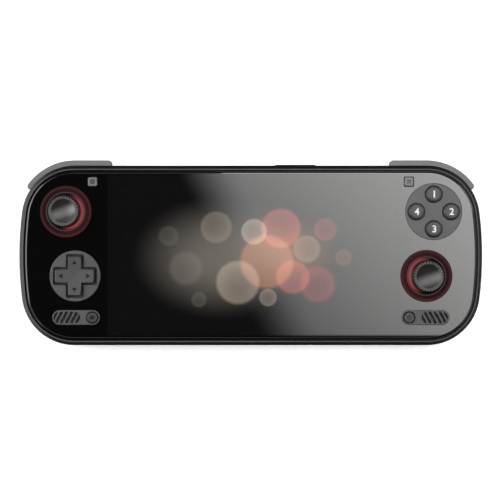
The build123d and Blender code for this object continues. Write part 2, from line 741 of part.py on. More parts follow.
for hand, (x, y) in sticks.items():
    with BuildPart() as stick_bezel:
        with BuildSketch(level(seat_z, x, y)):
            Circle(stick_bezel_radius)
        extrude(amount=face_z - seat_z)
        with BuildSketch(level(seat_z, x, y)):
            Circle(stick_bezel_radius + insert_flange)
        extrude(amount=insert_flange_thickness)
        with BuildSketch(level(face_z, x, y)):
            Circle(stick_opening + lip_width)
        extrude(amount=lip_proud)
        with Locations(at(x, y, pivot_z)):
            Sphere(dome_radius + dome_gap, mode=Mode.SUBTRACT)
        with BuildSketch(level(seat_z, x, y)):
            Circle(light_ring_outer + fit_gap)
            Circle(light_ring_inner - fit_gap, mode=Mode.SUBTRACT)
        extrude(amount=light_ring_height + fit_gap, mode=Mode.SUBTRACT)
    stick_bezel.part.label = f"{hand}_stick_bezel"
    export_step(stick_bezel.part, f"parts/{hand}_stick_bezel.step")

    with BuildPart() as light_ring:
        with BuildSketch(level(seat_z, x, y)):
            Circle(light_ring_outer)
            Circle(light_ring_inner, mode=Mode.SUBTRACT)
        extrude(amount=light_ring_height)
    light_ring.part.label = f"{hand}_light_ring"
    export_step(light_ring.part, f"parts/{hand}_light_ring.step")

    with BuildPart() as stick_module:
        with BuildSketch(level(module_z, x, y)):
            RectangleRounded(module_size, module_size, module_post_radius)
        extrude(amount=module_top_z - module_z)
        with BuildSketch(level(module_z + module_well_floor, x, y)):
            Circle(module_well_radius)
        extrude(amount=module_top_z - module_z - module_well_floor, mode=Mode.SUBTRACT)
        with BuildSketch(level(module_z + module_well_floor, x, y)):
            Circle(module_switch_radius)
        extrude(amount=module_switch_height)
        with BuildSketch(level(module_top_z, x, y)):
            bearing_x = module_well_radius + module_bearing_thickness / 2
            with Locations((-bearing_x, 0), (bearing_x, 0)):
                Rectangle(module_bearing_thickness, 2 * module_bearing_half)
        extrude(amount=pivot_z + module_bearing_rise - module_top_z)
        with BuildSketch(end_on(x, y, pivot_z)):
            Circle(yoke_pin_radius + fit_gap)
        extrude(amount=module_well_radius + module_bearing_thickness, both=True, mode=Mode.SUBTRACT)
    stick_module.part.label = f"{hand}_stick_module"
    export_step(stick_module.part, f"parts/{hand}_stick_module.step")

    with BuildPart() as stick_yoke:
        with BuildSketch(end_on(x, y, pivot_z)):
            Circle(yoke_pin_radius)
        extrude(amount=module_well_radius + module_bearing_thickness - slide_gap, both=True)
        with BuildSketch(level(pivot_z, x, y)):
            Circle(yoke_outer)
        extrude(amount=yoke_height / 2, both=True)
        with BuildSketch(level(pivot_z, x, y)):
            Circle(yoke_inner)
        extrude(amount=yoke_height / 2, both=True, mode=Mode.SUBTRACT)
        with BuildSketch(side_on(x, y, pivot_z)):
            Circle(hub_pin_radius + fit_gap)
        extrude(amount=yoke_outer, both=True, mode=Mode.SUBTRACT)
    stick_yoke.part.label = f"{hand}_stick_yoke"
    export_step(stick_yoke.part, f"parts/{hand}_stick_yoke.step")

    with BuildPart() as stick_hub:
        with BuildSketch(side_on(x, y, pivot_z)):
            Circle(hub_pin_radius)
        extrude(amount=hub_pin_reach, both=True)
        with BuildSketch(level(pivot_z, x, y)):
            Circle(hub_radius)
        extrude(amount=hub_height / 2, both=True)
        with BuildSketch(level(pivot_z, x, y)):
            Circle(shaft_radius + fit_gap)
        extrude(amount=hub_height / 2, both=True, mode=Mode.SUBTRACT)
    stick_hub.part.label = f"{hand}_stick_hub"
    export_step(stick_hub.part, f"parts/{hand}_stick_hub.step")

    with BuildPart() as stick_shaft:
        with BuildSketch(level(pivot_z - shaft_tail, x, y)):
            Circle(shaft_radius)
        extrude(amount=shaft_tail + stem_start)
        with BuildSketch(level(pivot_z + stem_start, x, y)):
            Circle(stem_radius)
        extrude(amount=cap_z - pivot_z - stem_start)
        with BuildSketch(level(cap_z, x, y)):
            Circle(cap_socket_radius - fit_gap)
        extrude(amount=cap_socket_depth - fit_gap)
        with BuildSketch(side_on(x, y, pivot_z)):
            with BuildLine():
                skirt = dome_radius - dome_thickness
                outside = CenterArc((0, 0), dome_radius, 90 - dome_reach, dome_reach)
                inside = CenterArc((0, 0), skirt, 90 - dome_reach, dome_reach)
                Line(outside @ 0, inside @ 0)
                Line(outside @ 1, inside @ 1)
            make_face()
        revolve(axis=Axis(at(x, y, pivot_z), (0, 0, 1)))
    stick_shaft.part.label = f"{hand}_stick_shaft"
    export_step(stick_shaft.part, f"parts/{hand}_stick_shaft.step")

    with BuildPart() as stick_cap:
        with BuildSketch(level(cap_z, x, y)):
            Circle(cap_radius)
        extrude(amount=cap_height)
        fillet(stick_cap.edges(), cap_edge_round)
        with Locations(at(x, y, cap_z + cap_height + dish_radius - cap_dish)):
            Sphere(dish_radius, mode=Mode.SUBTRACT)
        with BuildSketch(level(cap_z, x, y)):
            Circle(cap_socket_radius)
        extrude(amount=cap_socket_depth, mode=Mode.SUBTRACT)
    stick_cap.part.label = f"{hand}_stick_cap"
    export_step(stick_cap.part, f"parts/{hand}_stick_cap.step")

# Directional pad: a cross with a hidden skirt, rocking on a ball under its middle
cross_gap = 1.1
cross_length = 18.1
cross_arm = 6.1
cross_arm_gap = 1.15
cross_round = 0.9
cross_inner_round = 0.5
cross_proud = 2.1
cross_edge = 0.7
cross_dish_depth = 1.0
cross_dish_tip_share = 0.02
skirt_radius = 10.7
skirt_thickness = 0.9
d_pad_ball_radius = 1.2
d_pad_ball_rise = 1.4
d_pad_seat_radius = 1.6
d_pad_seat_height = 0.6
d_pad_swing = 4.0
membrane_thickness = 0.4
membrane_dome_height = 0.5
membrane_margin = 0.6
d_pad_dome_radius = 2.0
d_pad_dome_place = 6.5

skirt_rise = skirt_radius * sin(radians(sqrt(2) * d_pad_swing))
skirt_top_z = seat_z - running_gap - skirt_rise
skirt_z = skirt_top_z - skirt_thickness
d_pad_ball_z = control_board_top_z + d_pad_ball_rise


class Cross(BaseSketchObject):
    """Two crossed bars with rounded ends, and rounded corners between them."""

    def __init__(self, length, arm, end_round, inner_round, rotation=0, align=None, mode=Mode.ADD):
        with BuildSketch(mode=Mode.PRIVATE) as cross:
            Rectangle(length, arm)
            Rectangle(arm, length)
            corners = cross.vertices().sort_by(lambda corner: abs(corner.X) + abs(corner.Y))
            fillet(corners[4:], end_round)
            inner = cross.vertices().sort_by(lambda corner: abs(corner.X) + abs(corner.Y))
            fillet(inner[:4], inner_round)
        super().__init__(obj=cross.sketch, rotation=rotation, align=align, mode=mode)


with BuildPart() as d_pad_plate:
    with BuildSketch(level(seat_z, d_pad_x, lower_y)):
        Circle(d_pad_plate_radius)
    extrude(amount=face_z - seat_z)
    fillet(d_pad_plate.faces().sort_by(Axis.Z)[-1].edges(), insert_round)
    with BuildSketch(level(seat_z, d_pad_x, lower_y)):
        Circle(d_pad_plate_radius + insert_flange)
    extrude(amount=insert_flange_thickness)
    with BuildSketch(level(seat_z, d_pad_x, lower_y)):
        Cross(
            cross_length + 2 * cross_gap, cross_arm + 2 * cross_arm_gap, cross_round, cross_inner_round
        )
    extrude(amount=face_z - seat_z, mode=Mode.SUBTRACT)
d_pad_plate.part.label = "d_pad_plate"
export_step(d_pad_plate.part, "parts/d_pad_plate.step")

with BuildPart() as d_pad:
    with BuildSketch(level(skirt_z, d_pad_x, lower_y)):
        Cross(cross_length, cross_arm, cross_round, cross_inner_round)
    extrude(amount=face_z + cross_proud - skirt_z)
    crown = d_pad.faces().sort_by(Axis.Z)[-1]
    fillet(crown.edges(), cross_edge)
    with BuildSketch(level(face_z + cross_proud, d_pad_x, lower_y)):
        Rectangle(cross_length, cross_length)
    with BuildSketch(level(face_z + cross_proud - cross_dish_depth, d_pad_x, lower_y)):
        Rectangle(cross_length * cross_dish_tip_share, cross_length * cross_dish_tip_share)
    loft(mode=Mode.SUBTRACT)
    with BuildSketch(level(skirt_z, d_pad_x, lower_y)):
        Circle(skirt_radius)
    extrude(amount=skirt_thickness)
    with Locations(at(d_pad_x, lower_y, d_pad_ball_z)):
        Sphere(d_pad_ball_radius + fit_gap, mode=Mode.SUBTRACT)
d_pad.part.label = "d_pad"
export_step(d_pad.part, "parts/d_pad.step")

with BuildPart() as d_pad_pivot:
    with Locations(at(d_pad_x, lower_y, d_pad_ball_z)):
        Sphere(d_pad_ball_radius)
d_pad_pivot.part.label = "d_pad_pivot"
export_step(d_pad_pivot.part, "parts/d_pad_pivot.step")

with BuildPart() as d_pad_membrane:
    with BuildSketch(level(control_board_top_z, d_pad_x, lower_y)):
        Circle(skirt_radius)
        Circle(d_pad_seat_radius + slide_gap, mode=Mode.SUBTRACT)
    extrude(amount=membrane_thickness)
    with BuildSketch(level(control_board_top_z + membrane_thickness, d_pad_x, lower_y)):
        with PolarLocations(d_pad_dome_place, 4):
            Circle(d_pad_dome_radius)
    extrude(amount=membrane_dome_height)
d_pad_membrane.part.label = "d_pad_membrane"
export_step(d_pad_membrane.part, "parts/d_pad_membrane.step")

# Action buttons: four domed caps in one plate, each with a collar that the plate holds down
button_pitch_radius = 8.05
button_hole_radius = 4.15
button_radius = 3.85
button_proud = 1.7
button_dome_round = 1.3
button_collar_radius = 4.7
button_collar_thickness = 0.9
button_plunger_radius = 2.5
button_travel = 1.2

button_collar_z = seat_z - slide_gap - button_collar_thickness
button_foot_z = control_board_top_z + membrane_thickness + membrane_dome_height + slide_gap + button_travel
buttons = {"right": (1, 0), "top": (0, 1), "left": (-1, 0), "bottom": (0, -1)}

with BuildPart() as face_button_plate:
    with BuildSketch(level(seat_z, face_buttons_x, upper_y)):
        Circle(face_plate_radius)
    extrude(amount=face_z - seat_z)
    fillet(face_button_plate.faces().sort_by(Axis.Z)[-1].edges(), insert_round)
    with BuildSketch(level(seat_z, face_buttons_x, upper_y)):
        Circle(face_plate_radius + insert_flange)
    extrude(amount=insert_flange_thickness)
    with BuildSketch(level(seat_z, face_buttons_x, upper_y)):
        with PolarLocations(button_pitch_radius, 4):
            Circle(button_hole_radius)
    extrude(amount=face_z - seat_z, mode=Mode.SUBTRACT)
face_button_plate.part.label = "face_button_plate"
export_step(face_button_plate.part, "parts/face_button_plate.step")

for place, (right, up) in buttons.items():
    button_x = face_buttons_x + right * button_pitch_radius
    button_y = upper_y + up * button_pitch_radius
    with BuildPart() as face_button:
        with BuildSketch(level(button_collar_z, button_x, button_y)):
            Circle(button_radius)
        extrude(amount=face_z + button_proud - button_collar_z)
        fillet(face_button.faces().sort_by(Axis.Z)[-1].edges(), button_dome_round)
        with BuildSketch(level(button_collar_z, button_x, button_y)):
            Circle(button_collar_radius)
        extrude(amount=button_collar_thickness)
        with BuildSketch(level(button_foot_z, button_x, button_y)):
            Circle(button_plunger_radius)
        extrude(amount=button_collar_z - button_foot_z)
    face_button.part.label = f"face_button_{place}"
    export_step(face_button.part, f"parts/face_button_{place}.step")

with BuildPart() as face_button_membrane:
    with BuildSketch(level(control_board_top_z, face_buttons_x, upper_y)):
        Circle(button_pitch_radius + button_plunger_radius + membrane_margin)
    extrude(amount=membrane_thickness)
    with BuildSketch(level(control_board_top_z + membrane_thickness, face_buttons_x, upper_y)):
        with PolarLocations(button_pitch_radius, 4):
            Circle(button_plunger_radius)
    extrude(amount=membrane_dome_height)
face_button_membrane.part.label = "face_button_membrane"
export_step(face_button_membrane.part, "parts/face_button_membrane.step")

# Speaker grilles with a round button at the inner end, square buttons, speakers and boards
round_button_end = 3.525
round_button_hole = 2.9
round_button_radius = 2.4
small_button_proud = 0.5
small_button_round = 0.4
small_button_collar = 0.9
small_button_collar_reach = 0.6
small_button_travel = 0.5
grille_slots = 6
grille_slot_width = 1.35
grille_slot_slant = 29.0
grille_edge = 0.7
grille_field_share = 0.78
grille_pitch_share = 0.15
grille_place_share = 0.422
speaker_length = 14.0
speaker_width = 9.0
speaker_height = 4.6
speaker_gap = 1.75
speaker_round = 2.0
speaker_rim = 1.0
speaker_dish = 0.3
motor_radius = 5.0
motor_height = 3.2
motor_rise = 15.35
round_collar_radius = round_button_radius + small_button_collar_reach + small_button_round
round_button_in = pill_length / 2 - round_button_end
grille_room = pill_length - round_button_end - round_button_hole
grille_slot_pitch = grille_pitch_share * grille_room
grille_slot_out = pill_length / 2 - grille_place_share * grille_room
grille_field = grille_field_share * grille_room
grille_field_out = pill_length / 2 - grille_edge - grille_field / 2
grille_field_height = pill_height - 2 * grille_edge
speaker_out = round_collar_radius + speaker_gap + speaker_length / 2 - round_button_in
motor_y = motor_rise - top_y
small_button_foot_z = control_board_top_z + switch_height + slide_gap + small_button_travel
small_button_collar_z = deck_z - slide_gap - small_button_collar

for hand, side in sides.items():
    with BuildPart() as speaker_grille:
        with BuildSketch(level(seat_z, side * pill_x, pill_y)):
            SlotOverall(pill_length, pill_height)
        extrude(amount=face_z - seat_z)
        fillet(speaker_grille.faces().sort_by(Axis.Z)[-1].edges(), insert_round)
        with BuildSketch(level(seat_z, side * pill_x, pill_y)):
            SlotOverall(pill_length + 2 * insert_flange, pill_height + 2 * insert_flange)
        extrude(amount=insert_flange_thickness)
        with BuildSketch(level(seat_z, side * pill_x, pill_y)):
            with Locations((side * grille_slot_out, 0)):
                with GridLocations(grille_slot_pitch, 0, grille_slots, 1):
                    SlotOverall(
                        grille_field_height / cos(radians(grille_slot_slant)),
                        grille_slot_width,
                        rotation=90 + side * grille_slot_slant,
                    )
            with Locations((side * grille_field_out, 0)):
                SlotOverall(grille_field, grille_field_height, mode=Mode.INTERSECT)
            with Locations((-side * round_button_in, 0)):
                Circle(round_button_hole)
        extrude(amount=face_z - seat_z, mode=Mode.SUBTRACT)
    speaker_grille.part.label = f"{hand}_speaker_grille"
    export_step(speaker_grille.part, f"parts/{hand}_speaker_grille.step")

    round_x = side * (pill_x - round_button_in)
    with BuildPart() as round_button:
        with BuildSketch(level(small_button_foot_z, round_x, pill_y)):
            Circle(round_button_radius)
        extrude(amount=face_z + small_button_proud - small_button_foot_z)
        fillet(round_button.faces().sort_by(Axis.Z)[-1].edges(), small_button_round)
        with BuildSketch(level(small_button_collar_z, round_x, pill_y)):
            Circle(round_collar_radius)
        extrude(amount=small_button_collar)
    round_button.part.label = f"{hand}_round_button"
    export_step(round_button.part, f"parts/{hand}_round_button.step")

    with BuildPart() as square_button:
        with BuildSketch(level(small_button_foot_z, side * square_x, square_y)):
            RectangleRounded(square_size, square_size, square_round)
        extrude(amount=face_z + small_button_proud - small_button_foot_z)
        fillet(square_button.faces().sort_by(Axis.Z)[-1].edges(), small_button_round)
        with BuildSketch(level(small_button_collar_z, side * square_x, square_y)):
            collar = square_size + 2 * small_button_collar_reach
            RectangleRounded(collar, collar, square_round)
        extrude(amount=small_button_collar)
    square_button.part.label = f"{hand}_square_button"
    export_step(square_button.part, f"parts/{hand}_square_button.step")

    with BuildPart() as speaker:
        with BuildSketch(level(deck_z - slide_gap - speaker_height, side * (pill_x + speaker_out), pill_y)):
            RectangleRounded(speaker_length, speaker_width, speaker_round)
        extrude(amount=speaker_height)
        with BuildSketch(level(deck_z - slide_gap - speaker_dish, side * (pill_x + speaker_out), pill_y)):
            RectangleRounded(
                speaker_length - 2 * speaker_rim, speaker_width - 2 * speaker_rim, speaker_round
            )
        extrude(amount=speaker_dish, mode=Mode.SUBTRACT)
    speaker.part.label = f"{hand}_speaker"
    export_step(speaker.part, f"parts/{hand}_speaker.step")

    with BuildPart() as vibration_motor:
        with BuildSketch(level(floor_z - grip_proud + panel_gap, side * (edge_x + grip_out), motor_y)):
            Circle(motor_radius)
        extrude(amount=motor_height)
    vibration_motor.part.label = f"{hand}_vibration_motor"
    export_step(vibration_motor.part, f"parts/{hand}_vibration_motor.step")

    with BuildPart() as control_board:
        with BuildSketch(level(control_board_z)):
            BodyOutline(control_board_inset)
            with Locations((side * (edge_x - control_board_in), 0)):
                Rectangle(
                    body_width, body_height, align=(outboard[side], Align.CENTER), mode=Mode.INTERSECT
                )
            with Locations(sticks[hand]):
                cutout = module_size + 2 * running_gap + control_boss_radius / 2
                Rectangle(cutout, cutout, mode=Mode.SUBTRACT)
            with Locations((side * (pill_x + speaker_out), pill_y)):
                Rectangle(
                    speaker_length + 2 * running_gap,
                    speaker_width + 2 * running_gap,
                    mode=Mode.SUBTRACT,
                )
            with Locations(*rear_screw_places):
                Circle(rear_boss_radius + running_gap, mode=Mode.SUBTRACT)
            with Locations(*control_screw_places):
                Circle(board_screw_radius + fit_gap, mode=Mode.SUBTRACT)
        extrude(amount=board_thickness)
        with BuildSketch(level(control_board_top_z)):
            with Locations((round_x, pill_y), (side * square_x, square_y)):
                Rectangle(switch_size, switch_size)
        extrude(amount=switch_height)
        if hand == "left":
            with BuildSketch(level(control_board_top_z, d_pad_x, lower_y)):
                Circle(d_pad_seat_radius)
            extrude(amount=d_pad_seat_height)
            with Locations(at(d_pad_x, lower_y, d_pad_ball_z)):
                Sphere(d_pad_ball_radius + fit_gap, mode=Mode.SUBTRACT)
    control_board.part.label = f"{hand}_control_board"
    export_step(control_board.part, f"parts/{hand}_control_board.step")

# Main board, with its chips, sockets and side switches soldered on
chip_place_share = 0.43
chip_drop = 1.0
chip_width = 18.0
chip_height = 16.0
chip_thickness = 1.1
memory_place_share = 0.785
memory_width = 11.0
memory_height = 9.0
memory_gap = 1.3
side_switch_width = 4.0
side_switch_depth = 2.4
chip_x = chip_place_share * main_board_half
chip_y = fan_y - chip_drop
memory_x = memory_place_share * main_board_half
side_switch_y = top_y - key_reach - key_flange_depth - running_gap - power_travel
side_switch_xs = (
    key_start + side_switch_width,
    key_start + rocker_length - side_switch_width,
    power_x,
)

with BuildPart() as main_board:
    with BuildSketch(level(main_board_z)):
        with Locations((0, main_board_y)):
            Rectangle(
                2 * main_board_half, fan_outlet_y - main_board_y, align=(Align.CENTER, Align.MIN)
            )
        with Locations((main_board_step_x, fan_outlet_y)):
            Rectangle(
                main_board_half - main_board_step_x,
                top_y - main_board_top_drop - fan_outlet_y,
                align=(Align.MIN, Align.MIN),
            )
        with Locations(*main_screw_places):
            Circle(board_screw_radius + fit_gap, mode=Mode.SUBTRACT)
    extrude(amount=main_board_thickness)
    with BuildSketch(level(main_board_z - chip_thickness)):
        with Locations((chip_x, chip_y)):
            Rectangle(chip_width, chip_height)
        with Locations((memory_x, chip_y)):
            with GridLocations(0, memory_height + memory_gap, 1, 2):
                Rectangle(memory_width, memory_height)
    extrude(amount=chip_thickness)
    with BuildSketch(level(main_board_top_z)):
        with Locations(*[(x, side_switch_y) for x in side_switch_xs]):
            Rectangle(side_switch_width, side_switch_depth, align=(Align.CENTER, Align.MAX))
    extrude(amount=web_z - panel_gap - main_board_top_z)
main_board.part.label = "main_board"
export_step(main_board.part, "parts/main_board.step")

# Battery: a flat pack on the floor of the rear shell
battery_rise = 8.35
battery_thickness = 4.9
battery_round = 1.5
battery_length = 2 * main_board_half
battery_foot_y = battery_rise - top_y
battery_height = fan_foot_y - running_gap - battery_foot_y

with BuildPart() as battery:
    with BuildSketch(level(floor_z + panel_gap, 0, battery_foot_y + battery_height / 2)):
        RectangleRounded(battery_length, battery_height, battery_round)
    extrude(amount=battery_thickness)
    fillet(battery.faces().sort_by(Axis.Z)[-1].edges(), battery_round / 2)
battery.part.label = "battery"
export_step(battery.part, "parts/battery.step")

# Cooling: blower with its impeller, fin stack at the outlet and a heat pipe to the chip
fan_height = 5.2
fan_wall = 0.8
fan_skin = 0.6
fan_round = 3.0
volute_radius = 16.8
impeller_radius = 15.6
impeller_hub_radius = 7.0
impeller_gap = 0.35
blade_count = 17
blade_length = 8.4
blade_thickness = 0.6
blade_slant = 35.0
spindle_radius = 1.0
fan_rise = 0.4
fin_length = 34.0
fin_count = 23
fin_thickness = 0.5
fin_base = 0.8
fin_depth = 10.0
fin_bottom_gap = 0.5
pipe_width = 5.0
pipe_thickness = 1.5
pipe_bend = 9.0
spreader_thickness = 0.75
spreader_margin = 1.0

fan_z = floor_z + fan_rise
fin_y = fan_outlet_y + overrun
fin_z = floor_z + fin_bottom_gap
fin_top_z = web_z - fin_bottom_gap
spreader_z = main_board_z - chip_thickness - fit_gap - spreader_thickness
pipe_z = spreader_z - pipe_thickness
impeller_z = fan_z + fan_skin + impeller_gap
impeller_height = fan_height - 2 * (fan_skin + impeller_gap)

with BuildPart() as fan_housing:
    with BuildSketch(level(fan_z, fan_x, fan_y)):
        RectangleRounded(fan_size, fan_size, fan_round)
    extrude(amount=fan_height)
    with BuildSketch(level(fan_z + fan_skin, fan_x, fan_y)):
        Circle(volute_radius)
        Rectangle(fan_size - 2 * fan_wall, fan_size, align=(Align.CENTER, Align.MIN))
    extrude(amount=fan_height - 2 * fan_skin, mode=Mode.SUBTRACT)
    with BuildSketch(level(fan_z, fan_x, fan_y)):
        Circle(fan_inlet_radius)
    extrude(amount=fan_skin, mode=Mode.SUBTRACT)
    with BuildSketch(level(fan_z + fan_skin, fan_x, fan_y)):
        Circle(spindle_radius)
    extrude(amount=fan_height - fan_skin)
fan_housing.part.label = "fan_housing"
export_step(fan_housing.part, "parts/fan_housing.step")

with BuildPart() as fan_impeller:
    with BuildSketch(level(impeller_z, fan_x, fan_y)):
        Circle(impeller_hub_radius)
        with PolarLocations((impeller_hub_radius + impeller_radius) / 2, blade_count):
            Rectangle(blade_length, blade_thickness, rotation=blade_slant)
        Circle(impeller_radius, mode=Mode.INTERSECT)
    extrude(amount=impeller_height)
    with BuildSketch(level(impeller_z + impeller_height / 2, fan_x, fan_y)):
        Circle(impeller_radius)
    extrude(amount=blade_thickness)
    with BuildSketch(level(impeller_z, fan_x, fan_y)):
        Circle(spindle_radius + fit_gap)
    extrude(amount=impeller_height, mode=Mode.SUBTRACT)
fan_impeller.part.label = "fan_impeller"
export_step(fan_impeller.part, "parts/fan_impeller.step")

with BuildPart() as heat_sink:
    with BuildSketch(level(fin_z, fan_x, fin_y)):
        with GridLocations((fin_length - fin_thickness) / (fin_count - 1), 0, fin_count, 1):
            Rectangle(fin_thickness, fin_depth, align=(Align.CENTER, Align.MIN))
    extrude(amount=fin_top_z - fin_z)
    with BuildSketch(level(fin_top_z - fin_base, fan_x, fin_y)):
        Rectangle(fin_length, fin_depth, align=(Align.CENTER, Align.MIN))
    extrude(amount=fin_base)
    with BuildSketch(end_on(fan_x, fin_y + fin_depth / 2, pipe_z + pipe_thickness / 2)):
        Rectangle(pipe_width + 2 * panel_gap, pipe_thickness + 2 * panel_gap)
    extrude(amount=fin_length, both=True, mode=Mode.SUBTRACT)
heat_sink.part.label = "heat_sink"
export_step(heat_sink.part, "parts/heat_sink.step")

with BuildPart() as heat_pipe:
    with BuildSketch(level(pipe_z)):
        with BuildLine():
            FilletPolyline(
                (fan_x - fin_length / 2, fin_y + fin_depth / 2),
                (chip_x - pipe_bend, fin_y + fin_depth / 2),
                (chip_x, fin_y + fin_depth / 2 - pipe_bend),
                (chip_x, chip_y - chip_height / 2),
                radius=pipe_bend,
            )
        trace(line_width=pipe_width)
    extrude(amount=pipe_thickness)
    with BuildSketch(level(spreader_z, chip_x, chip_y)):
        Rectangle(chip_width - spreader_margin, chip_height - spreader_margin)
    extrude(amount=spreader_thickness)
heat_pipe.part.label = "heat_pipe"
export_step(heat_pipe.part, "parts/heat_pipe.step")

# Edge parts: volume rocker and power key above, socket and card tray below
card_tray_catch = 1.0
card_tray_thickness = 1.0
card_tray_lip = 1.4
card_tray_side = 0.2
card_reader_wall = 0.45
card_reader_depth = 14.0
card_reader_start = 1.2
card_travel = 14.0
card_tray_depth = card_travel + card_tray_catch
socket_depth = 7.2
socket_wall = 0.35
tongue_width = 6.7
tongue_thickness = 0.7
tongue_depth = 5.0

with BuildPart() as volume_rocker:
    with BuildSketch(side_on(rocker_x, top_y + rocker_proud, key_z)):
        RectangleRounded(rocker_length, key_height, key_height / 4)
    extrude(amount=rocker_proud + key_reach)
    with BuildSketch(side_on(rocker_x, top_y - key_reach, key_z)):
        Rectangle(rocker_length + 2 * key_flange, key_height + key_flange)
    extrude(amount=key_flange_depth)
volume_rocker.part.label = "volume_rocker"
export_step(volume_rocker.part, "parts/volume_rocker.step")

with BuildPart() as power_button:
    with BuildSketch(side_on(power_x, top_y + power_proud, key_z)):
        RectangleRounded(power_length, key_height, key_height / 4)
    extrude(amount=power_proud + key_reach)
    with BuildSketch(side_on(power_x, top_y - key_reach, key_z)):
        Rectangle(power_length + 2 * key_flange, key_height + key_flange)
    extrude(amount=key_flange_depth)
power_button.part.label = "power_button"
export_step(power_button.part, "parts/power_button.step")

with BuildPart() as card_tray:
    with BuildSketch(side_on(card_tray_x, -top_y, card_z)):
        RectangleRounded(card_tray_width, card_tray_height, card_tray_height / 4)
    extrude(amount=-card_tray_lip)
    with BuildSketch(side_on(card_tray_x, -top_y, card_z)):
        Rectangle(card_tray_width - 2 * card_tray_side, card_tray_thickness)
    extrude(amount=-card_tray_depth)
card_tray.part.label = "card_tray"
export_step(card_tray.part, "parts/card_tray.step")

with BuildPart() as card_reader:
    reader_y = -top_y + frame_wall + card_reader_start
    reader_width = card_tray_width + 2 * card_reader_wall
    with BuildSketch(side_on(card_tray_x, reader_y, card_z)):
        Rectangle(reader_width, 2 * (web_z - panel_gap - card_z))
        Rectangle(card_tray_width, card_tray_thickness + 2 * slide_gap, mode=Mode.SUBTRACT)
    extrude(amount=-card_reader_depth)
card_reader.part.label = "card_reader"
export_step(card_reader.part, "parts/card_reader.step")

with BuildPart() as usb_c_port:
    with BuildSketch(side_on(0, -top_y + panel_gap, socket_z)):
        SlotOverall(socket_width, socket_height)
    extrude(amount=-socket_depth)
    with BuildSketch(side_on(0, -top_y + panel_gap, socket_z)):
        SlotOverall(socket_width - 2 * socket_wall, socket_height - 2 * socket_wall)
    extrude(amount=-(socket_depth - 2 * socket_wall), mode=Mode.SUBTRACT)
    with BuildSketch(side_on(0, -top_y + panel_gap + socket_depth - socket_wall, socket_z)):
        Rectangle(tongue_width, tongue_thickness)
    extrude(amount=tongue_depth)
usb_c_port.part.label = "usb_c_port"
export_step(usb_c_port.part, "parts/usb_c_port.step")
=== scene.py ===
import math

import bmesh
import bpy
from mathutils import Matrix, Vector


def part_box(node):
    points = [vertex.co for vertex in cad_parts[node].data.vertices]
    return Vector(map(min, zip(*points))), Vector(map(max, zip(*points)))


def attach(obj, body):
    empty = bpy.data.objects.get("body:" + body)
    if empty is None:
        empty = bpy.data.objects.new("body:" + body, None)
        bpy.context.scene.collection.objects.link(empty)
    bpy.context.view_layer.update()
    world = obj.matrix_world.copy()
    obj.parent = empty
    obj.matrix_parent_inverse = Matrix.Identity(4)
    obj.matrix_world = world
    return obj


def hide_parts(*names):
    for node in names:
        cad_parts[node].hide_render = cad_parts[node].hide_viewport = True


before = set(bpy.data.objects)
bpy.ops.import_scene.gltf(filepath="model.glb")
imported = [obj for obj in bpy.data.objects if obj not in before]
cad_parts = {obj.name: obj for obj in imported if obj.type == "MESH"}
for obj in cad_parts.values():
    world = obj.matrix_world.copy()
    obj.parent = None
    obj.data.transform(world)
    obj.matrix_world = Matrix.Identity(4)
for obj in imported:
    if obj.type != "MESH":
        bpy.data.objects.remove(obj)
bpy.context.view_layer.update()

MM = 0.001
WELD = 0.0005 * MM  # points of a mesh this close are one
scene = bpy.context.scene
scene.view_settings.view_transform = "Standard"


def middle(node):
    """The middle of a node's box, in millimetres."""
    low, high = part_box(node)
    return (low + high) / (2 * MM)


def crest(node):
    """The height of a node's highest point, in millimetres."""
    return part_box(node)[1].z / MM


# Finishes


class Amount:
    """A number or colour that varies over a surface, for plain arithmetic."""

    def __init__(self, finish, socket):
        self.finish, self.socket = finish, socket

    def _math(self, operation, *parts):
        return self.finish.node("Math", {"operation": operation}, dict(enumerate(parts)))

    def __add__(self, other):
        return self._math("ADD", self, other)

    def __sub__(self, other):
        return self._math("SUBTRACT", self, other)

    def __mul__(self, other):
        return self._math("MULTIPLY", self, other)

    def __truediv__(self, other):
        return self._math("DIVIDE", self, other)

    def __radd__(self, other):
        return self._math("ADD", other, self)

    def __rsub__(self, other):
        return self._math("SUBTRACT", other, self)

    def __abs__(self):
        return self._math("ABSOLUTE", self)

    def root(self):
        return self._math("SQRT", self)

    def wave(self):
        return self._math("SINE", self)

    def turn(self, along):
        """The angle, in radians, of a point this far above an axis and that far along it."""
        return self._math("ARCTAN2", self, along)

    def rise(self, low, high):
        """0 below low, 1 above high, and smooth between them."""
        return self.finish.node(
            "MapRange", {"interpolation_type": "SMOOTHSTEP"}, {0: self, 1: low, 2: high}
        )

    def within(self, start, full, fade, end):
        """0 below start and above end, 1 from full to fade."""
        return self.rise(start, full) * (1 - self.rise(fade, end))


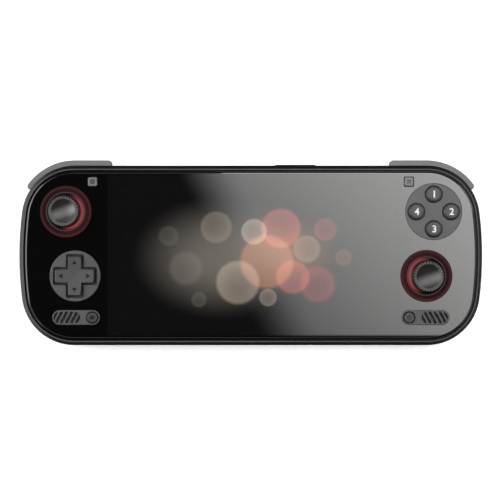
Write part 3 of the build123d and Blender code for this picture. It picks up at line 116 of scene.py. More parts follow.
class Finish:
    """One finish: a Principled surface whose sockets take constants or varying amounts."""

    def __init__(self, name, **constants):
        self.material = bpy.data.materials.new(name)
        self.material.use_nodes = True
        self.tree = self.material.node_tree
        self.surface = self.tree.nodes["Principled BSDF"]
        for socket, value in constants.items():
            self.set(socket.replace("_", " ").title().replace("Ior", "IOR"), value)

    def node(self, kind, settings=None, sockets=None, out=0):
        """Adds a node, sets its settings and then its sockets, and gives one of its outputs."""
        node = self.tree.nodes.new("ShaderNode" + kind)
        for name, value in (settings or {}).items():
            setattr(node, name, value)
        for name, value in (sockets or {}).items():
            self.feed(node.inputs[name], value)
        return Amount(self, node.outputs[out])

    def feed(self, socket, value):
        """Links a varying amount to a socket, or sets the socket to a constant."""
        if isinstance(value, Amount):
            self.tree.links.new(value.socket, socket)
        elif socket.type == "RGBA":
            socket.default_value = (*value, 1.0)
        else:
            socket.default_value = value

    def set(self, socket, value):
        self.feed(self.surface.inputs[socket], value)
        return self

    def place(self):
        """The point on the surface, in metres."""
        return self.node("TexCoord", out="Object")

    def axes(self):
        """X, Y and Z of the point, in millimetres."""
        spread = self.node("VectorMath", {"operation": "SCALE"}, {0: self.place(), 3: 1 / MM})
        return [self.node("SeparateXYZ", None, {0: spread}, out) for out in range(3)]

    def noise(self, size, detail, stretch=(1.0, 1.0, 1.0)):
        """Noise of about that size in millimetres, drawn out along an axis by its stretch."""
        spread = self.node(
            "Mapping", None, {"Vector": self.place(), "Scale": [1 / s for s in stretch]}
        )
        return self.node(
            "TexNoise", None, {"Vector": spread, "Scale": 1 / (size * MM), "Detail": detail}
        )

    def cells(self, size):
        """Distance to the nearest of a scatter of points about that many millimetres apart."""
        return self.node("TexVoronoi", None, {"Vector": self.place(), "Scale": 1 / (size * MM)})

    def blend(self, share, low, high, way="MIX"):
        """Mixes two colours."""
        return self.node(
            "Mix", {"data_type": "RGBA", "blend_type": way}, {0: share, 6: low, 7: high}, 2
        )

    def bump(self, height, depth):
        """Raises the skin by a height from 0 to 1 times depth, in millimetres."""
        raised = self.node(
            "Bump", None, {"Height": height, "Distance": depth * MM, "Strength": 1.0}
        )
        return self.set("Normal", raised)


def tinted(colour, share):
    """A colour made lighter or darker by a share."""
    return tuple(channel * share for channel in colour)


def moulded(name, colour, roughness, grain, depth, shine):
    """A moulded plastic or rubber: a little uneven in colour, with a fine-grained skin."""
    finish = Finish(name, specular_ior_level=shine)
    cloud, skin = finish.noise(9, 3), finish.noise(grain, 2)
    shade = finish.blend(cloud, tinted(colour, 0.9), tinted(colour, 1.1))
    finish.set("Base Color", finish.blend(skin * 0.25, shade, tinted(colour, 1.35)))
    finish.set("Roughness", roughness + (skin - 0.5) * 0.14 + (cloud - 0.5) * 0.06)
    return finish.bump(skin, depth)


def drawn_metal(name, colour, roughness, stretch):
    """A metal with fine drawing lines along one axis."""
    finish = Finish(name, metallic=1.0)
    lines, cloud = finish.noise(0.12, 3, stretch), finish.noise(6, 2)
    finish.set("Base Color", finish.blend(lines, tinted(colour, 0.85), tinted(colour, 1.15)))
    finish.set("Roughness", roughness + (lines - 0.5) * 0.12 + (cloud - 0.5) * 0.08)
    return finish.bump(lines, 0.004)


def grey(level, blue=0.0):
    """A grey, with a little more or less blue."""
    return (level, level, level + blue)


BLACK = grey(0.0)
hands = {"left": -1, "right": 1}

# Ribs round a stick cap, between which its finish paints shade
cap_ribs = 30

# The picture on the display: soft discs of light, from warm white to red, on a dark ground
display_middle = middle("display_panel")
active_half, active_edge = (66.4, 37.35), 0.1
WARM_WHITE = (0.42, 0.35, 0.27)
WARM_GREY = (0.15, 0.135, 0.118)
AMBER = (0.42, 0.16, 0.07)
CORAL = (0.42, 0.085, 0.06)
CRIMSON = (0.25, 0.03, 0.035)
light_discs = [
    # x, y, radius, soft edge, tint, strength
    (-16.0, 13.0, 8.0, 1.6, WARM_WHITE, 0.22),
    (-6.0, -12.5, 11.0, 2.2, WARM_WHITE, 0.42),
    (7.5, -3.0, 13.5, 2.6, AMBER, 0.5),
    (1.5, 11.0, 6.5, 1.3, WARM_WHITE, 0.5),
    (14.0, 12.5, 10.0, 2.0, CORAL, 0.55),
    (19.5, -10.0, 8.5, 1.8, CORAL, 0.5),
    (26.0, 3.0, 7.0, 1.6, WARM_WHITE, 0.26),
    (31.0, -13.5, 9.5, 3.0, CRIMSON, 0.6),
    (34.5, 12.0, 6.0, 1.8, CRIMSON, 0.6),
    (-30.0, -6.0, 9.0, 3.0, WARM_GREY, 0.3),
    (-38.0, 9.0, 5.5, 2.0, WARM_GREY, 0.25),
    (8.0, -19.5, 4.5, 1.0, WARM_WHITE, 0.35),
    (43.0, -1.0, 4.5, 1.6, AMBER, 0.22),
    (-24.0, -20.5, 4.0, 1.2, WARM_GREY, 0.3),
]
# Middle x and y and half width and height of the two wide glows behind the discs
haze_oval, ember_oval = (-14.0, -1.0, 43.0, 30.0), (16.0, 1.0, 26.0, 20.0)


def oval_glow(x, y, oval, core):
    """1 in the core of an oval, fading to 0 at its edge."""
    across, along = (x - oval[0]) / oval[2], (y - oval[1]) / oval[3]
    return 1 - (across * across + along * along).root().rise(core, 1.0)


def picture(finish):
    """Colour of the lit display, and a mask that is 1 within its active area."""
    x, y, _ = finish.axes()
    x, y = x - display_middle.x, y - display_middle.y
    colour = finish.blend(oval_glow(x, y, haze_oval, 0.05), grey(0.0015), WARM_GREY)
    colour = finish.blend(oval_glow(x, y, ember_oval, 0.1) * 0.35, colour, AMBER, "ADD")
    for disc_x, disc_y, radius, soft, tint, strength in light_discs:
        off_x, off_y = x - disc_x, y - disc_y
        reach = (off_x * off_x + off_y * off_y).root()
        disc = 1 - reach.rise(radius - soft, radius)
        fullness = 0.6 + reach.rise(radius * 0.2, radius) * 0.4
        colour = finish.blend(disc * fullness * strength, colour, tint, "ADD")
    beyond = [
        abs(off).rise(half - active_edge, half) for off, half in zip((x, y), active_half)
    ]
    inside = (1 - beyond[0]) * (1 - beyond[1])
    return finish.blend(inside, BLACK, colour), inside


def screen_glass():
    """Black cover glass, through which the lit display shows."""
    finish = Finish("cover_glass_black", ior=1.5, emission_strength=1.0)
    lit, inside = picture(finish)
    smear = finish.noise(30, 3, (1, 2.5, 1))
    finish.set("Base Color", finish.blend(inside, grey(0.0016, 0.0002), grey(0.0024, 0.0002)))
    finish.set("Roughness", 0.015 + smear * 0.012)
    return finish.set("Emission Color", lit)


def display_finish():
    """The display behind the glass, with the same picture."""
    finish = Finish("display_cells", ior=1.5, emission_strength=1.0)
    lit, inside = picture(finish)
    pixel_rows = finish.noise(0.1, 1, (1, 20, 1))
    finish.set("Base Color", finish.blend(inside, grey(0.004), grey(0.012, 0.002)))
    finish.set("Roughness", 0.28 + pixel_rows * 0.1)
    return finish.set("Emission Color", lit)


# Radii at which these painted rings on a stick start, are full, start to fade and end: highlights
# at the bezel's outer edge and lip, and the red reflection on the dome's flank
bezel_outer_highlight = (10.4, 11.35, 11.55, 11.9)
bezel_lip_highlight = (8.6, 8.8, 8.95, 9.3)
dome_flank_reflection = (6.9, 7.9, 8.1, 8.8)


def painted_glow_side(finish, hand, angle):
    """Distance from a stick's middle, and how far a point lies towards the side where its painted
    glow is brighter.
    """
    centre = middle(f"{hand}_stick_bezel")
    x, y, _ = finish.axes()
    x, y = x - centre.x, y - centre.y
    reach = (x * x + y * y).root()
    facing = (x * math.cos(angle) + y * math.sin(angle)) / (reach + 0.01)
    return reach, facing


def smoked_bezel(hand, angle):
    """Smoked clear plastic over the light ring, with the ring's glow through it painted on,
    brighter on one side, and painted highlight lines at its lip and outer edge.
    """
    finish = Finish(f"{hand}_bezel_smoked", emission_strength=1.0, specular_ior_level=0.02)
    reach, facing = painted_glow_side(finish, hand, angle)
    murk = finish.noise(3.5, 2)
    # Painted glow of the light ring, brighter on the side turned towards the middle of the body
    tint = finish.blend(facing.rise(-0.6, 0.9), (0.014, 0.003, 0.004), (0.03, 0.006, 0.008))
    # Painted highlight line at the bezel's outer edge
    tint = finish.blend(reach.within(*bezel_outer_highlight), tint, (0.062, 0.018, 0.021))
    # Painted highlight line at the lip of the well
    tint = finish.blend(reach.within(*bezel_lip_highlight) * 0.8, tint, (0.1, 0.08, 0.074))
    finish.set("Emission Color", finish.blend(murk * 0.25, tint, BLACK))
    finish.set("Base Color", finish.blend(murk, (0.004, 0.002, 0.002), (0.007, 0.003, 0.003)))
    return finish.set("Roughness", 0.45 + murk * 0.12)


def stick_dome(hand, angle):
    """Glossy black dome of a stick, with a painted red reflection of the light ring on its flank on
    one side.
    """
    finish = Finish(f"{hand}_stick_dome", emission_strength=1.0, specular_ior_level=0.1)
    reach, facing = painted_glow_side(finish, hand, angle)
    murk = finish.noise(2.5, 2)
    # Painted red reflection of the light ring, on the flank's side towards the middle of the body
    flank = facing.rise(-0.1, 0.8) * reach.within(*dome_flank_reflection)
    painted_reflection = finish.blend(flank, BLACK, (0.34, 0.05, 0.058))
    finish.set("Emission Color", finish.blend(murk * 0.2, painted_reflection, BLACK))
    finish.set("Base Color", finish.blend(murk, grey(0.005), grey(0.009)))
    return finish.set("Roughness", 0.25 + murk * 0.1)


# Direction across the band of painted highlight, and the radii over which a cap's rim and its
# painted dark edge begin
lit_band_slant = (0.94, 0.34)
cap_rim_start, cap_edge_start = (5.3, 5.8), (6.55, 6.8)


def stick_rubber(hand, lit_band_drop, side_highlight):
    """Satin rubber, with a painted highlight in a slanting band across the dish and painted shade
    above and below it.
    """
    finish = Finish(f"{hand}_cap_rubber", specular_ior_level=0.12)
    centre = middle(f"{hand}_stick_shaft")
    x, y, _ = finish.axes()
    x, y = x - centre.x, y - centre.y
    reach, off = (x * x + y * y).root(), y * lit_band_slant[0] - x * lit_band_slant[1] + lit_band_drop
    grooves = (y.turn(x) * cap_ribs).wave().rise(-0.3, 0.3)
    rim = reach.rise(*cap_rim_start)
    # Painted shade on the cap's outer corner and side
    edge = 1 - reach.rise(*cap_edge_start) * 0.8
    # Painted shade above and below the slanting lit band in the dish
    painted_shade = off.rise(-0.4, 3.2) * 0.95 + (0 - off).rise(0.8, 3.8) * 0.75
    # Painted shade on the rim, above the lit band and between the ribs
    rim_painted_shade = off.rise(1.0, 5.0) * 0.3 + grooves * 0.5
    skin, cloud = finish.noise(0.16, 2), finish.noise(3, 2)
    dish = finish.blend(cloud, grey(0.1, -0.002), grey(0.12, -0.002))
    # Painted highlight on the dish's right side
    dish = finish.blend(x.rise(0.5, 4.0) * side_highlight, dish, grey(0.2, 0.005))
    dish = finish.blend(painted_shade, dish, grey(0.004))
    shaded_rim = finish.blend(rim_painted_shade, grey(0.115, -0.003), grey(0.015))
    shade = finish.blend(rim, dish, shaded_rim)
    finish.set("Base Color", finish.blend(edge, grey(0.01), shade))
    finish.set("Roughness", 0.42 + painted_shade * 0.25 + (skin - 0.5) * 0.1)
    return finish.bump(skin, 0.01)


# Heights over which the frame's upper land begins
land_start = (15.84, 15.89)


def anodised_frame():
    """Near-black anodised metal, its narrow upper land painted paler as a highlight."""
    finish = Finish("frame_anodised", specular_ior_level=0.15)
    land = finish.axes()[2].rise(*land_start)
    grain, cloud = finish.noise(0.25, 3), finish.noise(6, 2)
    dark = finish.blend(cloud, grey(0.0085, 0.0005), grey(0.0115, 0.0005))
    # Painted highlight: the land is paler and not metallic
    finish.set("Base Color", finish.blend(land, dark, grey(0.068, 0.001)))
    finish.set("Metallic", 1 - land)
    finish.set("Roughness", 0.27 + (grain - 0.5) * 0.12 + land * 0.3)
    return finish.bump(grain, 0.003)


def light_guide():
    """Red-lit ring under a bezel."""
    finish = Finish("light_guide_red", emission_strength=1.0)
    haze = finish.noise(1.2, 3)
    finish.set("Base Color", finish.blend(haze, (0.5, 0.06, 0.06), (0.7, 0.12, 0.1)))
    finish.set("Emission Color", finish.blend(haze, (0.7, 0.05, 0.04), (1.0, 0.12, 0.08)))
    return finish.set("Roughness", 0.4 + haze * 0.15)


# Place of the grips along the body, and the pitch of their pattern in radians per millimetre
grip_y, lozenge_pitch = -15.6, 4.2


def rear_cover():
    """Textured back, with a fine lozenge pattern on the two grips."""
    finish = Finish("rear_cover_plastic", specular_ior_level=0.35)
    x, y, _ = finish.axes()
    off_x, off_y = abs(x) - abs(middle("right_vibration_motor").x), y - grip_y
    grip = (1 - abs(off_x).rise(8.5, 10.0)) * (1 - abs(off_y).rise(18.0, 20.0))
    lozenges = ((x + y) * lozenge_pitch).wave() * ((x - y) * lozenge_pitch).wave()
    skin, cloud = finish.noise(0.35, 2), finish.noise(12, 3)
    shade = finish.blend(cloud, grey(0.03, 0.002), grey(0.042, 0.002))
    finish.set("Base Color", finish.blend(skin * 0.3, shade, grey(0.06, 0.002)))
    finish.set("Roughness", 0.56 + (skin - 0.5) * 0.15)
    return finish.bump(skin * (1 - grip) * 0.25 + grip * (lozenges * 0.5 + 0.5), 0.09)


# Pitch of the tracks on the boards, in radians per millimetre
lane_pitch = 1.7


def circuit_board():
    """Green solder resist over tracks, with lighter pads."""
    finish = Finish("circuit_board_green")
    x, y, _ = finish.axes()
    lanes_x = (finish.noise(9, 1) * 26 + x * lane_pitch).wave()
    lanes_y = (finish.noise(7, 1) * 22 + y * lane_pitch).wave()
    track = (lanes_x * lanes_y).rise(0.25, 0.4)
    pad = 1 - finish.cells(3.1).rise(0.16, 0.19)
    shade = finish.blend(track, (0.006, 0.045, 0.022), (0.012, 0.095, 0.04))
    finish.set("Base Color", finish.blend(pad, shade, (0.62, 0.5, 0.26)))
    finish.set("Metallic", pad)
    finish.set("Roughness", 0.42 - pad * 0.12)
    return finish.bump(track, 0.03)


def battery_wrap():
    """Creased dark foil."""
    finish = Finish("battery_wrap")
    crease = finish.noise(5, 4, (1.0, 3.0, 1.0))
    finish.set("Base Color", finish.blend(crease, grey(0.06, 0.005), grey(0.13, 0.005)))
    finish.set("Roughness", 0.3 + crease * 0.25)
    return finish.bump(crease, 0.12)


def printed(name, colour, shine):
    """Pad-printed ink."""
    finish = Finish(name, specular_ior_level=shine)
    speck = finish.noise(0.15, 2)
    finish.set("Base Color", finish.blend(speck, tinted(colour, 0.92), tinted(colour, 1.05)))
    finish.set("Roughness", 0.5 + speck * 0.1)
    return finish.bump(speck, 0.004)


# Moulded finishes: slot, name, grey and its added blue, roughness, grain, depth of skin, shine
moulded_finishes = (
    ("plate_plastic", "plate_plastic", (0.064, 0.002), 0.45, 0.3, 0.012, 0.25),
    ("lower_plate_plastic", "lower_plate", (0.064, 0.002), 0.48, 0.3, 0.012, 0.2),
    ("d_pad_plastic", "pad_plastic", (0.052, 0.002), 0.48, 0.25, 0.012, 0.2),
    ("button_plastic", "button_plastic", (0.04, 0.001), 0.38, 0.3, 0.004, 0.2),
    ("small_button_plastic", "small_button_plastic", (0.08, 0.002), 0.45, 0.25, 0.012, 0.5),
    ("shoulder_plastic", "bumper_plastic", (0.108, 0.002), 0.5, 0.35, 0.015, 0.35),
    ("trigger_plastic", "trigger_plastic", (0.13, 0.003), 0.5, 0.35, 0.015, 0.5),
    ("shaft_plastic", "shaft_plastic", (0.012, 0.0), 0.3, 0.5, 0.003, 0.5),
    ("silicone", "membrane_silicone", (0.5, -0.01), 0.5, 0.6, 0.01, 0.5),
    ("inner_plastic", "inner_plastic", (0.022, 0.001), 0.5, 0.5, 0.012, 0.5),
)
# Metal finishes: slot, colour, roughness, and how far the drawing lines stretch along each axis
metal_finishes = (
    ("fin_aluminium", grey(0.6, 0.01), 0.35, (12, 1, 1)),
    ("pipe_copper", (0.62, 0.3, 0.19), 0.3, (14, 1, 1)),
    ("port_steel", grey(0.42, 0.01), 0.3, (1, 12, 1)),
    ("screw_steel", grey(0.16, 0.005), 0.38, (1, 1, 8)),
    ("spring_steel", grey(0.5), 0.28, (1, 1, 1)),
)
finishes = {
    "glass": screen_glass(),
    "display": display_finish(),
    "frame_metal": anodised_frame(),
    "rear_plastic": rear_cover(),
    "light_ring": light_guide(),
    "circuit_board": circuit_board(),
    "battery_foil": battery_wrap(),
}
for slot, name, shade, *skin in moulded_finishes:
    finishes[slot] = moulded(name, grey(*shade), *skin)
for slot, *metal in metal_finishes:
    finishes[slot] = drawn_metal(slot, *metal)

# Sides towards which the sticks' painted ring glow and painted red reflection are brighter
painted_glow_angles = {"left": math.radians(-15), "right": math.radians(165)}
bezel_finishes = {hand: smoked_bezel(hand, angle) for hand, angle in painted_glow_angles.items()}
dome_finishes = {hand: stick_dome(hand, angle) for hand, angle in painted_glow_angles.items()}
cap_finishes = {
    "left": stick_rubber("left", 0.0, 0.75),
    "right": stick_rubber("right", 1.2, 0.2),
}
ink_white = printed("ink_white", grey(0.78), 0.5)
ink_dark = printed("ink_dark", grey(0.008), 0.1)

for name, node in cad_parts.items():
    for place in node.material_slots:
        slot_name = place.material.name.split(".")[0]
        hand = name.split("_")[0]
        if slot_name == "smoked_plastic":
            finish = bezel_finishes[hand]
        elif slot_name == "cap_rubber":
            finish = cap_finishes[hand]
        elif slot_name == "shaft_plastic" and hand in dome_finishes:
            finish = dome_finishes[hand]
        elif slot_name == "plate_plastic" and not name.startswith("face"):
            finish = finishes["lower_plate_plastic"]
        else:
            finish = finishes[slot_name]
        place.material = finish.material


# Pieces


def add_piece(name, mesh, body, finish, stands_for=(), crease=32):
    """A new piece from a bmesh in metres, riding on its body."""
    bmesh.ops.remove_doubles(mesh, verts=mesh.verts, dist=WELD)
    bmesh.ops.recalc_face_normals(mesh, faces=mesh.faces)
    for face in mesh.faces:
        face.smooth = True
    for edge in mesh.edges:
        edge.smooth = edge.calc_face_angle(0) < math.radians(crease)
    data = bpy.data.meshes.new(name)
    mesh.to_mesh(data)
    mesh.free()
    piece = bpy.data.objects.new(name, data)
    scene.collection.objects.link(piece)
    data.materials.append(finish.material)
    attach(piece, body)
    if stands_for:
        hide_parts(*stands_for)


def turned(profile, centre, steps, closed=False):
    """A turned form from its half profile of (radius, height), in millimetres."""
    mesh = bmesh.new()
    line = [mesh.verts.new(((centre.x + r) * MM, centre.y * MM, z * MM)) for r, z in profile]
    pairs = list(zip(line, line[1:])) + ([(line[-1], line[0])] if closed else [])
    edges = [mesh.edges.new(pair) for pair in pairs]
    bmesh.ops.spin(
        mesh,
        geom=line + edges,
        cent=(centre.x * MM, centre.y * MM, 0),
        axis=(0, 0, 1),
        angle=math.tau,
        steps=steps,
        use_merge=True,
    )
    bmesh.ops.remove_doubles(mesh, verts=mesh.verts, dist=WELD)
    return mesh


def arc(centre, radius, start, end, parts):
    """Points of (radius, height) on an arc, its angles in degrees from the outward axis."""
    angles = [math.radians(start + (end - start) * i / parts) for i in range(parts + 1)]
    return [(centre[0] + radius * math.cos(a), centre[1] + radius * math.sin(a)) for a in angles]


def slab(width, depth, height, corner, centre, turn=0.0):
    """A low plate with rounded upright corners, its foot on centre, in millimetres."""
    mesh = bmesh.new()
    bmesh.ops.create_cube(mesh, size=MM)
    bmesh.ops.scale(mesh, vec=(width, depth, height), verts=mesh.verts)
    upright = [e for e in mesh.edges if abs(e.verts[0].co.z - e.verts[1].co.z) > height * MM / 2]
    bmesh.ops.bevel(
        mesh,
        geom=upright,
        offset=corner * MM,
        segments=4,
        profile=0.5,
        affect="EDGES",
        material=-1,
    )
    bmesh.ops.rotate(mesh, matrix=Matrix.Rotation(turn, 3, "Z"), verts=mesh.verts)
    bmesh.ops.translate(
        mesh, vec=(centre[0] * MM, centre[1] * MM, (centre[2] + height / 2) * MM), verts=mesh.verts
    )
    return mesh


def joined(meshes):
    """Several bmeshes as one."""
    whole = bmesh.new()
    for mesh in meshes:
        data = bpy.data.meshes.new("part")
        mesh.to_mesh(data)
        mesh.free()
        whole.from_mesh(data)
        bpy.data.meshes.remove(data)
    return whole


# Stick caps: concave rubber, with ribs round the rim and the side
cap_low, cap_high = 21.2, crest("left_stick_cap")
cap_radius, cap_rim, cap_dish = 7.1, 1.5, 1.4
cap_corner, cap_shoulder, dish_lip = 0.45, 0.95, 0.15
socket_radius, socket_depth = 3.2, 0.45
chord = cap_radius - cap_rim
dish_steps = 12
cap_profile = (
    [(0, cap_low + socket_depth), (socket_radius, cap_low + socket_depth), (socket_radius, cap_low)]
    + arc((cap_radius - cap_corner, cap_low + cap_corner), cap_corner, -90, 0, 3)
    + [(cap_radius, cap_low + cap_shoulder), (cap_radius, cap_high - cap_shoulder)]
    + arc((cap_radius - cap_corner, cap_high - cap_corner), cap_corner, 0, 90, 3)
    + [(cap_radius - cap_shoulder, cap_high), (chord + dish_lip, cap_high)]
)
for step in range(dish_steps):
    share = 1 - step / dish_steps
    cap_profile.append((chord * share, cap_high - cap_dish * (1 - share**3)))
cap_profile.append((0, cap_high - cap_dish))

# The grooves between the ribs start a little outside the dish and above the foot
rib_steps, rib_depth, rib_slope = 4, 0.2, 0.05
rib_start, rib_foot = chord + 0.2, cap_low + 0.5
cap_steps = rib_steps * cap_ribs

for hand in hands:
    centre = middle(f"{hand}_stick_shaft")
    mesh = turned(cap_profile, centre, cap_steps)
    bmesh.ops.recalc_face_normals(mesh, faces=mesh.faces)
    grooves = []
    for face in mesh.faces:
        spot = face.calc_center_median()
        off = Vector((spot.x - centre.x * MM, spot.y - centre.y * MM))
        column = round(math.degrees(math.atan2(off.y, off.x)) * cap_steps / 360 - 0.5)
        outside = off.length / MM > rib_start and spot.z / MM > rib_foot
        if outside and column % rib_steps < rib_steps / 2:
            grooves.append(face)
    bmesh.ops.inset_region(mesh, faces=grooves, thickness=rib_slope * MM, depth=-rib_depth * MM)
    add_piece(
        f"{hand}_stick_cap_rubber",
        mesh,
        f"{hand}_stick",
        cap_finishes[hand],
        [f"{hand}_stick_cap"],
        crease=25,
    )

# Stick bezels: flat rings of smoked plastic, their wells round the ball of the stick
bezel_steps = 128
seat, ball_middle, ball_gap_radius = 14.4, 11.4, 10.05
well_heights = (seat, 14.9, 15.4, 15.9, 16.4)
bezel_profile = (
    # Wall of the well, and the round lip above it
    [(math.sqrt(ball_gap_radius**2 - (z - ball_middle) ** 2), z) for z in well_heights]
    + arc((8.86, 16.36), 0.19, 160, 30, 5)
    # Hollowed face, and the bead at its edge
    + [(9.3, 16.3), (9.9, 16.2), (11.2, 16.28)]
    + [(11.6, 16.38), (11.85, 16.37), (12.05, 16.22)]
    # Flange, and the channel over the light ring
    + [(12.05, 15.25), (12.75, 15.25), (12.75, seat)]
    + [(11.35, seat), (11.35, 15.35), (10.05, 15.35), (10.05, seat)]
)
for hand in hands:
    add_piece(
        f"{hand}_bezel_ring",
        turned(bezel_profile, middle(f"{hand}_stick_bezel"), bezel_steps, closed=True),
        "root",
        bezel_finishes[hand],
        [f"{hand}_stick_bezel"],
    )

# Ink starts just below the surface that carries it
ink_sink, ink_rise = 0.01, 0.04
digit_height, digit_weight = 3.1, 0.09
type_size = 1.42  # for a digit of height 1


def digit(text, centre):
    """A printed digit as a mesh, its foot on centre."""
    words = bpy.data.curves.new("digit_" + text, "FONT")
    words.body, words.size = text, digit_height * type_size * MM
    words.offset, words.extrude = digit_weight * MM, ink_rise / 2 * MM
    words.resolution_u = 6
    holder = bpy.data.objects.new("digit_" + text, words)
    scene.collection.objects.link(holder)
    bpy.context.view_layer.update()
    data = bpy.data.meshes.new_from_object(holder)
    bpy.data.objects.remove(holder)
    mesh = bmesh.new()
    mesh.from_mesh(data)
    bpy.data.meshes.remove(data)
    low = Vector([min(v.co[i] for v in mesh.verts) for i in range(3)])
    high = Vector([max(v.co[i] for v in mesh.verts) for i in range(3)])
    foot = Vector(((low.x + high.x) / 2, (low.y + high.y) / 2, low.z))
    bmesh.ops.translate(mesh, vec=Vector(centre) * MM - foot, verts=mesh.verts)
    return mesh


for place, text in (("top", "1"), ("right", "2"), ("bottom", "3"), ("left", "4")):
    node = f"face_button_{place}"
    top = middle(node)
    mesh = digit(text, (top.x, top.y, crest(node) - ink_sink))
    add_piece(f"{node}_digit", mesh, node, ink_white)

# Arrows on the arms of the pad, tilted to lie on its dished top
pad, pad_top = middle("d_pad"), crest("d_pad")
pad_dish, pad_reach = 1.0, 9.05
arrow_reach, arrow_radius, arrow_thickness = 6.1, 1.55, 0.16
arrow_shape = (0.8, 0.9, 1.0)
tilt = math.atan(pad_dish / pad_reach)
arrow_height = pad_top - pad_dish * (1 - arrow_reach / pad_reach)
arrows = []
for quarter in range(4):
    mesh = bmesh.new()
    bmesh.ops.create_cone(
        mesh,
        cap_ends=True,
        segments=3,
        radius1=arrow_radius * MM,
        radius2=arrow_radius * MM,
        depth=arrow_thickness * MM,
    )
    bmesh.ops.rotate(mesh, matrix=Matrix.Rotation(-math.pi / 2, 3, "Z"), verts=mesh.verts)
    bmesh.ops.scale(mesh, vec=arrow_shape, verts=mesh.verts)
    bmesh.ops.rotate(mesh, matrix=Matrix.Rotation(-tilt, 3, "Y"), verts=mesh.verts)
    bmesh.ops.translate(mesh, vec=(arrow_reach * MM, 0, arrow_height * MM), verts=mesh.verts)
    turn = Matrix.Rotation(quarter * math.pi / 2, 3, "Z")
    bmesh.ops.rotate(mesh, matrix=turn, verts=mesh.verts)
    bmesh.ops.translate(mesh, vec=(pad.x * MM, pad.y * MM, 0), verts=mesh.verts)
    arrows.append(mesh)
add_piece("d_pad_arrows", joined(arrows), "d_pad", ink_dark)


def ring_mark(spot, top, inner, outer, steps):
    """A printed ring, or a disc where inner is 0."""
    line = [(inner, top), (outer, top), (outer, top + ink_rise), (inner, top + ink_rise)]
    return turned(line, spot, steps, closed=inner > 0)


# Marks on the small buttons: a ring and two bars, a disc and a diamond
bar_width, bar_depth, bar_corner, bar_off = 1.9, 0.42, 0.1, 0.5
for hand in hands:
    node = f"{hand}_square_button"
    spot, top = middle(node), crest(node) - ink_sink
    if hand == "left":
        mesh = ring_mark(spot, top, 0.5, 1.05, 32)
    else:
        feet = [(spot.x, spot.y + off, top) for off in (-bar_off, bar_off)]
        mesh = joined([slab(bar_width, bar_depth, ink_rise, bar_corner, foot) for foot in feet])
    add_piece(f"{node}_mark", mesh, node, ink_dark)
    node = f"{hand}_round_button"
    spot, top = middle(node), crest(node) - ink_sink
    if hand == "left":
        mesh = ring_mark(spot, top, 0, 1.05, 24)
    else:
        mesh = ring_mark(spot, top, 0.85, 1.15, 4)
    add_piece(f"{node}_mark", mesh, node, ink_dark)

# Fine screens under the speaker slots, a little outwards of the grilles' middles
screen_width, screen_depth, screen_thickness = 14.2, 5.0, 0.25
screen_foot, screen_shift = 13.9, 3.0
wire, pit = 0.1, 0.12
for hand, side in hands.items():
    spot = middle(f"{hand}_speaker_grille")
    mesh = bmesh.new()
    bmesh.ops.create_grid(mesh, x_segments=30, y_segments=10, size=0.5 * MM)
    bmesh.ops.scale(mesh, vec=(screen_width, screen_depth, 1), verts=mesh.verts)
    raised = bmesh.ops.extrude_face_region(mesh, geom=mesh.faces[:])
    bmesh.ops.translate(
        mesh,
        vec=(0, 0, screen_thickness * MM),
        verts=[part for part in raised["geom"] if isinstance(part, bmesh.types.BMVert)],
    )
    bmesh.ops.translate(
        mesh,
        vec=((spot.x + side * screen_shift) * MM, spot.y * MM, screen_foot * MM),
        verts=mesh.verts,
    )
    bmesh.ops.recalc_face_normals(mesh, faces=mesh.faces)
    upper = [face for face in mesh.faces if face.normal.z > 0.9]
    bmesh.ops.inset_individual(mesh, faces=upper, thickness=wire * MM, depth=-pit * MM)
    add_piece(f"{hand}_speaker_screen", mesh, "root", finishes["inner_plastic"])

# Raised marks on the volume rocker: a bar at its left end and a cross at its right end
mark_inset, mark_length, mark_width = 3.4, 1.3, 0.26
mark_rise, mark_sink, mark_corner = 0.1, 0.03, 0.08
rocker_low, rocker_high = (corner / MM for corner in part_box("volume_rocker"))
rocker_middle = middle("volume_rocker")
left_x, right_x = rocker_low.x + mark_inset, rocker_high.x - mark_inset
bars = []
for x, turn in ((left_x, 0), (right_x, 0), (right_x, math.pi / 2)):
    mesh = slab(mark_length, mark_width, mark_rise, mark_corner, (0, 0, 0), turn)
    bmesh.ops.rotate(mesh, matrix=Matrix.Rotation(-math.pi / 2, 3, "X"), verts=mesh.verts)
    foot = Vector((x, rocker_high.y - mark_sink, rocker_middle.z))
    bmesh.ops.translate(mesh, vec=foot * MM, verts=mesh.verts)
    bars.append(mesh)
add_piece("volume_marks", joined(bars), "volume_rocker", finishes["frame_metal"])


# Light, floor and camera, in metres


def stage_plane(name, width, depth, centre, normal, finish, in_view=False):
    """A flat sheet. Unless in view, it casts no shadow and the camera sees it only in mirrors."""
    mesh = bmesh.new()
    bmesh.ops.create_grid(mesh, x_segments=1, y_segments=1, size=0.5)
    bmesh.ops.scale(mesh, vec=(width, depth, 1), verts=mesh.verts)
    data = bpy.data.meshes.new(name)
    mesh.to_mesh(data)
    mesh.free()
    plane = bpy.data.objects.new(name, data)
    scene.collection.objects.link(plane)
    plane.rotation_euler = Vector(normal).to_track_quat("Z", "Y").to_euler()
    plane.location = centre
    data.materials.append(finish.material)
    plane.visible_camera = plane.visible_shadow = in_view
    return plane


floor_finish = Finish("floor_white", roughness=0.9, specular_ior_level=0.0, emission_strength=1.0)
paper = floor_finish.noise(40, 2)
floor_finish.set("Base Color", floor_finish.blend(paper, grey(0.86), grey(0.88)))
seen = floor_finish.node("LightPath", out="Is Camera Ray")
floor_finish.set("Emission Color", floor_finish.blend(seen, BLACK, grey(0.5)))
stage_plane("floor", 6, 6, (0, 0, 0), (0, 0, 1), floor_finish, in_view=True)

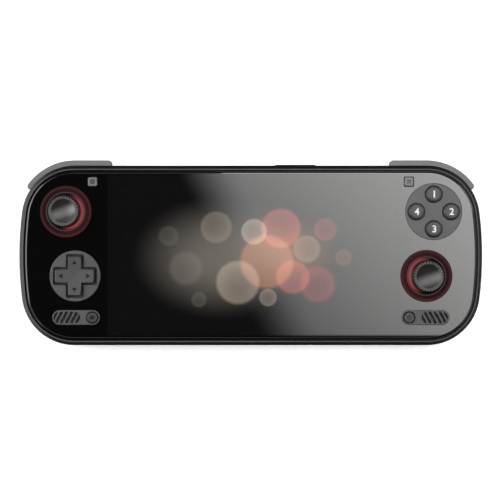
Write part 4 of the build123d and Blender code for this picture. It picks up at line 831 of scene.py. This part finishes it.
# A card above the camera, which the glass mirrors: dark on the left and bright on the right
camera_place = Vector((-0.35, 1.2, 531.4)) * MM
card_height, glass_top = 0.62, 0.0164
mirror_scale = 1 + (card_height - glass_top) / (camera_place.z - glass_top)
card_white = (16.0, 15.9, 15.7)
card_finish = Finish(
    "light_card", base_color=BLACK, roughness=1.0, specular_ior_level=0.0, emission_strength=1.0
)
x, y, _ = card_finish.axes()
# Where on the glass, in millimetres, the camera sees this point of the card
glass_x, glass_y = x / mirror_scale, y / mirror_scale
lit_side = (glass_x + glass_y * 0.5 + 1.0).rise(-16.0, 16.0)
level = (3.2 + glass_x * 0.042 + glass_y * 0.046) * lit_side + 0.03
# Brighter above the object's upper edge and past its right edge, black below its lower edge
level = level + glass_y.rise(43.5, 47) * (glass_x.rise(-75, 0) * 1.5 + glass_x.rise(40, 90) * 3)
level = level + glass_x.rise(110, 114) * 1.5
level = level * glass_y.rise(-39.2, -38.8)
card_finish.set("Emission Color", card_finish.blend(level / card_white[0], BLACK, card_white))
card = stage_plane("light_card", 0.56, 0.30, (0, 0, card_height), (0, 0, -1), card_finish)
# The card's origin goes to the middle of the floor, because its pattern is set out from there
card.data.transform(card.matrix_basis)
card.matrix_basis = Matrix.Identity(4)

lamp_aim = Vector((0, 0, 0.01))


def lamp(name, place, width, depth, power):
    """A softbox turned towards the object."""
    light = bpy.data.lights.new(name, "AREA")
    light.shape, light.size, light.size_y, light.energy = "RECTANGLE", width, depth, power
    holder = bpy.data.objects.new(name, light)
    scene.collection.objects.link(holder)
    holder.location = place
    aim_line = lamp_aim - Vector(place)
    holder.rotation_euler = aim_line.to_track_quat("-Z", "Y").to_euler()


lamp("left_softbox", (-0.55, 0.2, 0.36), 0.5, 0.5, 3.6)
lamp("right_softbox", (0.6, 0.3, 0.4), 0.35, 0.3, 1.2)

# Black flags above and below the object in the picture keep its long edges dark
flag_off, flag_height = 0.34, 0.25
flag_finish = Finish("flag_black", roughness=1.0, specular_ior_level=0.0)
cloth = flag_finish.noise(5, 2)
flag_finish.set("Base Color", flag_finish.blend(cloth, BLACK, grey(0.01)))
for end in (-1, 1):
    middle_of_flag = (0, end * flag_off, flag_height)
    stage_plane(f"flag_{end}", 0.9, 0.5, middle_of_flag, (0, -end, 0), flag_finish)


def glowing_paper(name, level):
    """White paper that shines by itself."""
    finish = Finish(
        name, base_color=BLACK, roughness=1.0, specular_ior_level=0.0, emission_strength=1.0
    )
    paper = finish.noise(60, 1)
    return finish.set(
        "Emission Color", finish.blend(paper, grey(level * 0.96), grey(level * 1.04))
    )


# Cards seen only in mirrors: two for the left edge, and a strip for the glass's upper edge
edge_paper, strip_paper = glowing_paper("edge_card", 4.8), glowing_paper("strip_card", 10.0)
for place, size, normal, finish in (
    ((-0.52, 0.0, 0.5), (0.36, 0.9), (1, 0, 0), edge_paper),
    ((-0.26, 0.0, 0.002), (0.24, 0.22), (0, 0, 1), edge_paper),
    ((0.14, 0.3, 0.62), (0.34, 0.3), (0, 0, -1), strip_paper),
):
    stage_plane("edge_card", *size, place, normal, finish).visible_diffuse = False

# The sky is bright to the camera and in mirrors, and dim as a light
world = bpy.data.worlds.new("studio")
scene.world = world
world.use_nodes = True
tree = world.node_tree
sky = tree.nodes["Background"]
rays = tree.nodes.new("ShaderNodeLightPath")
level = None
for kind in ("Is Camera Ray", "Is Glossy Ray", "Is Transmission Ray"):
    step = tree.nodes.new("ShaderNodeMath")
    step.operation = "MAXIMUM"
    tree.links.new(rays.outputs[kind], step.inputs[0])
    if level:
        tree.links.new(level, step.inputs[1])
    level = step.outputs[0]
strength = tree.nodes.new("ShaderNodeMapRange")
tree.links.new(level, strength.inputs[0])
strength.inputs["To Min"].default_value = 0.2
strength.inputs["To Max"].default_value = 1.0
tree.links.new(strength.outputs[0], sky.inputs["Strength"])
sky.inputs["Color"].default_value = (1, 1, 1, 1)

lens = bpy.data.cameras.new("camera")
lens.lens, lens.sensor_width = 80, 36
lens.clip_start = 0.01
camera = bpy.data.objects.new("camera", lens)
scene.collection.objects.link(camera)
camera.location = camera_place
scene.camera = camera
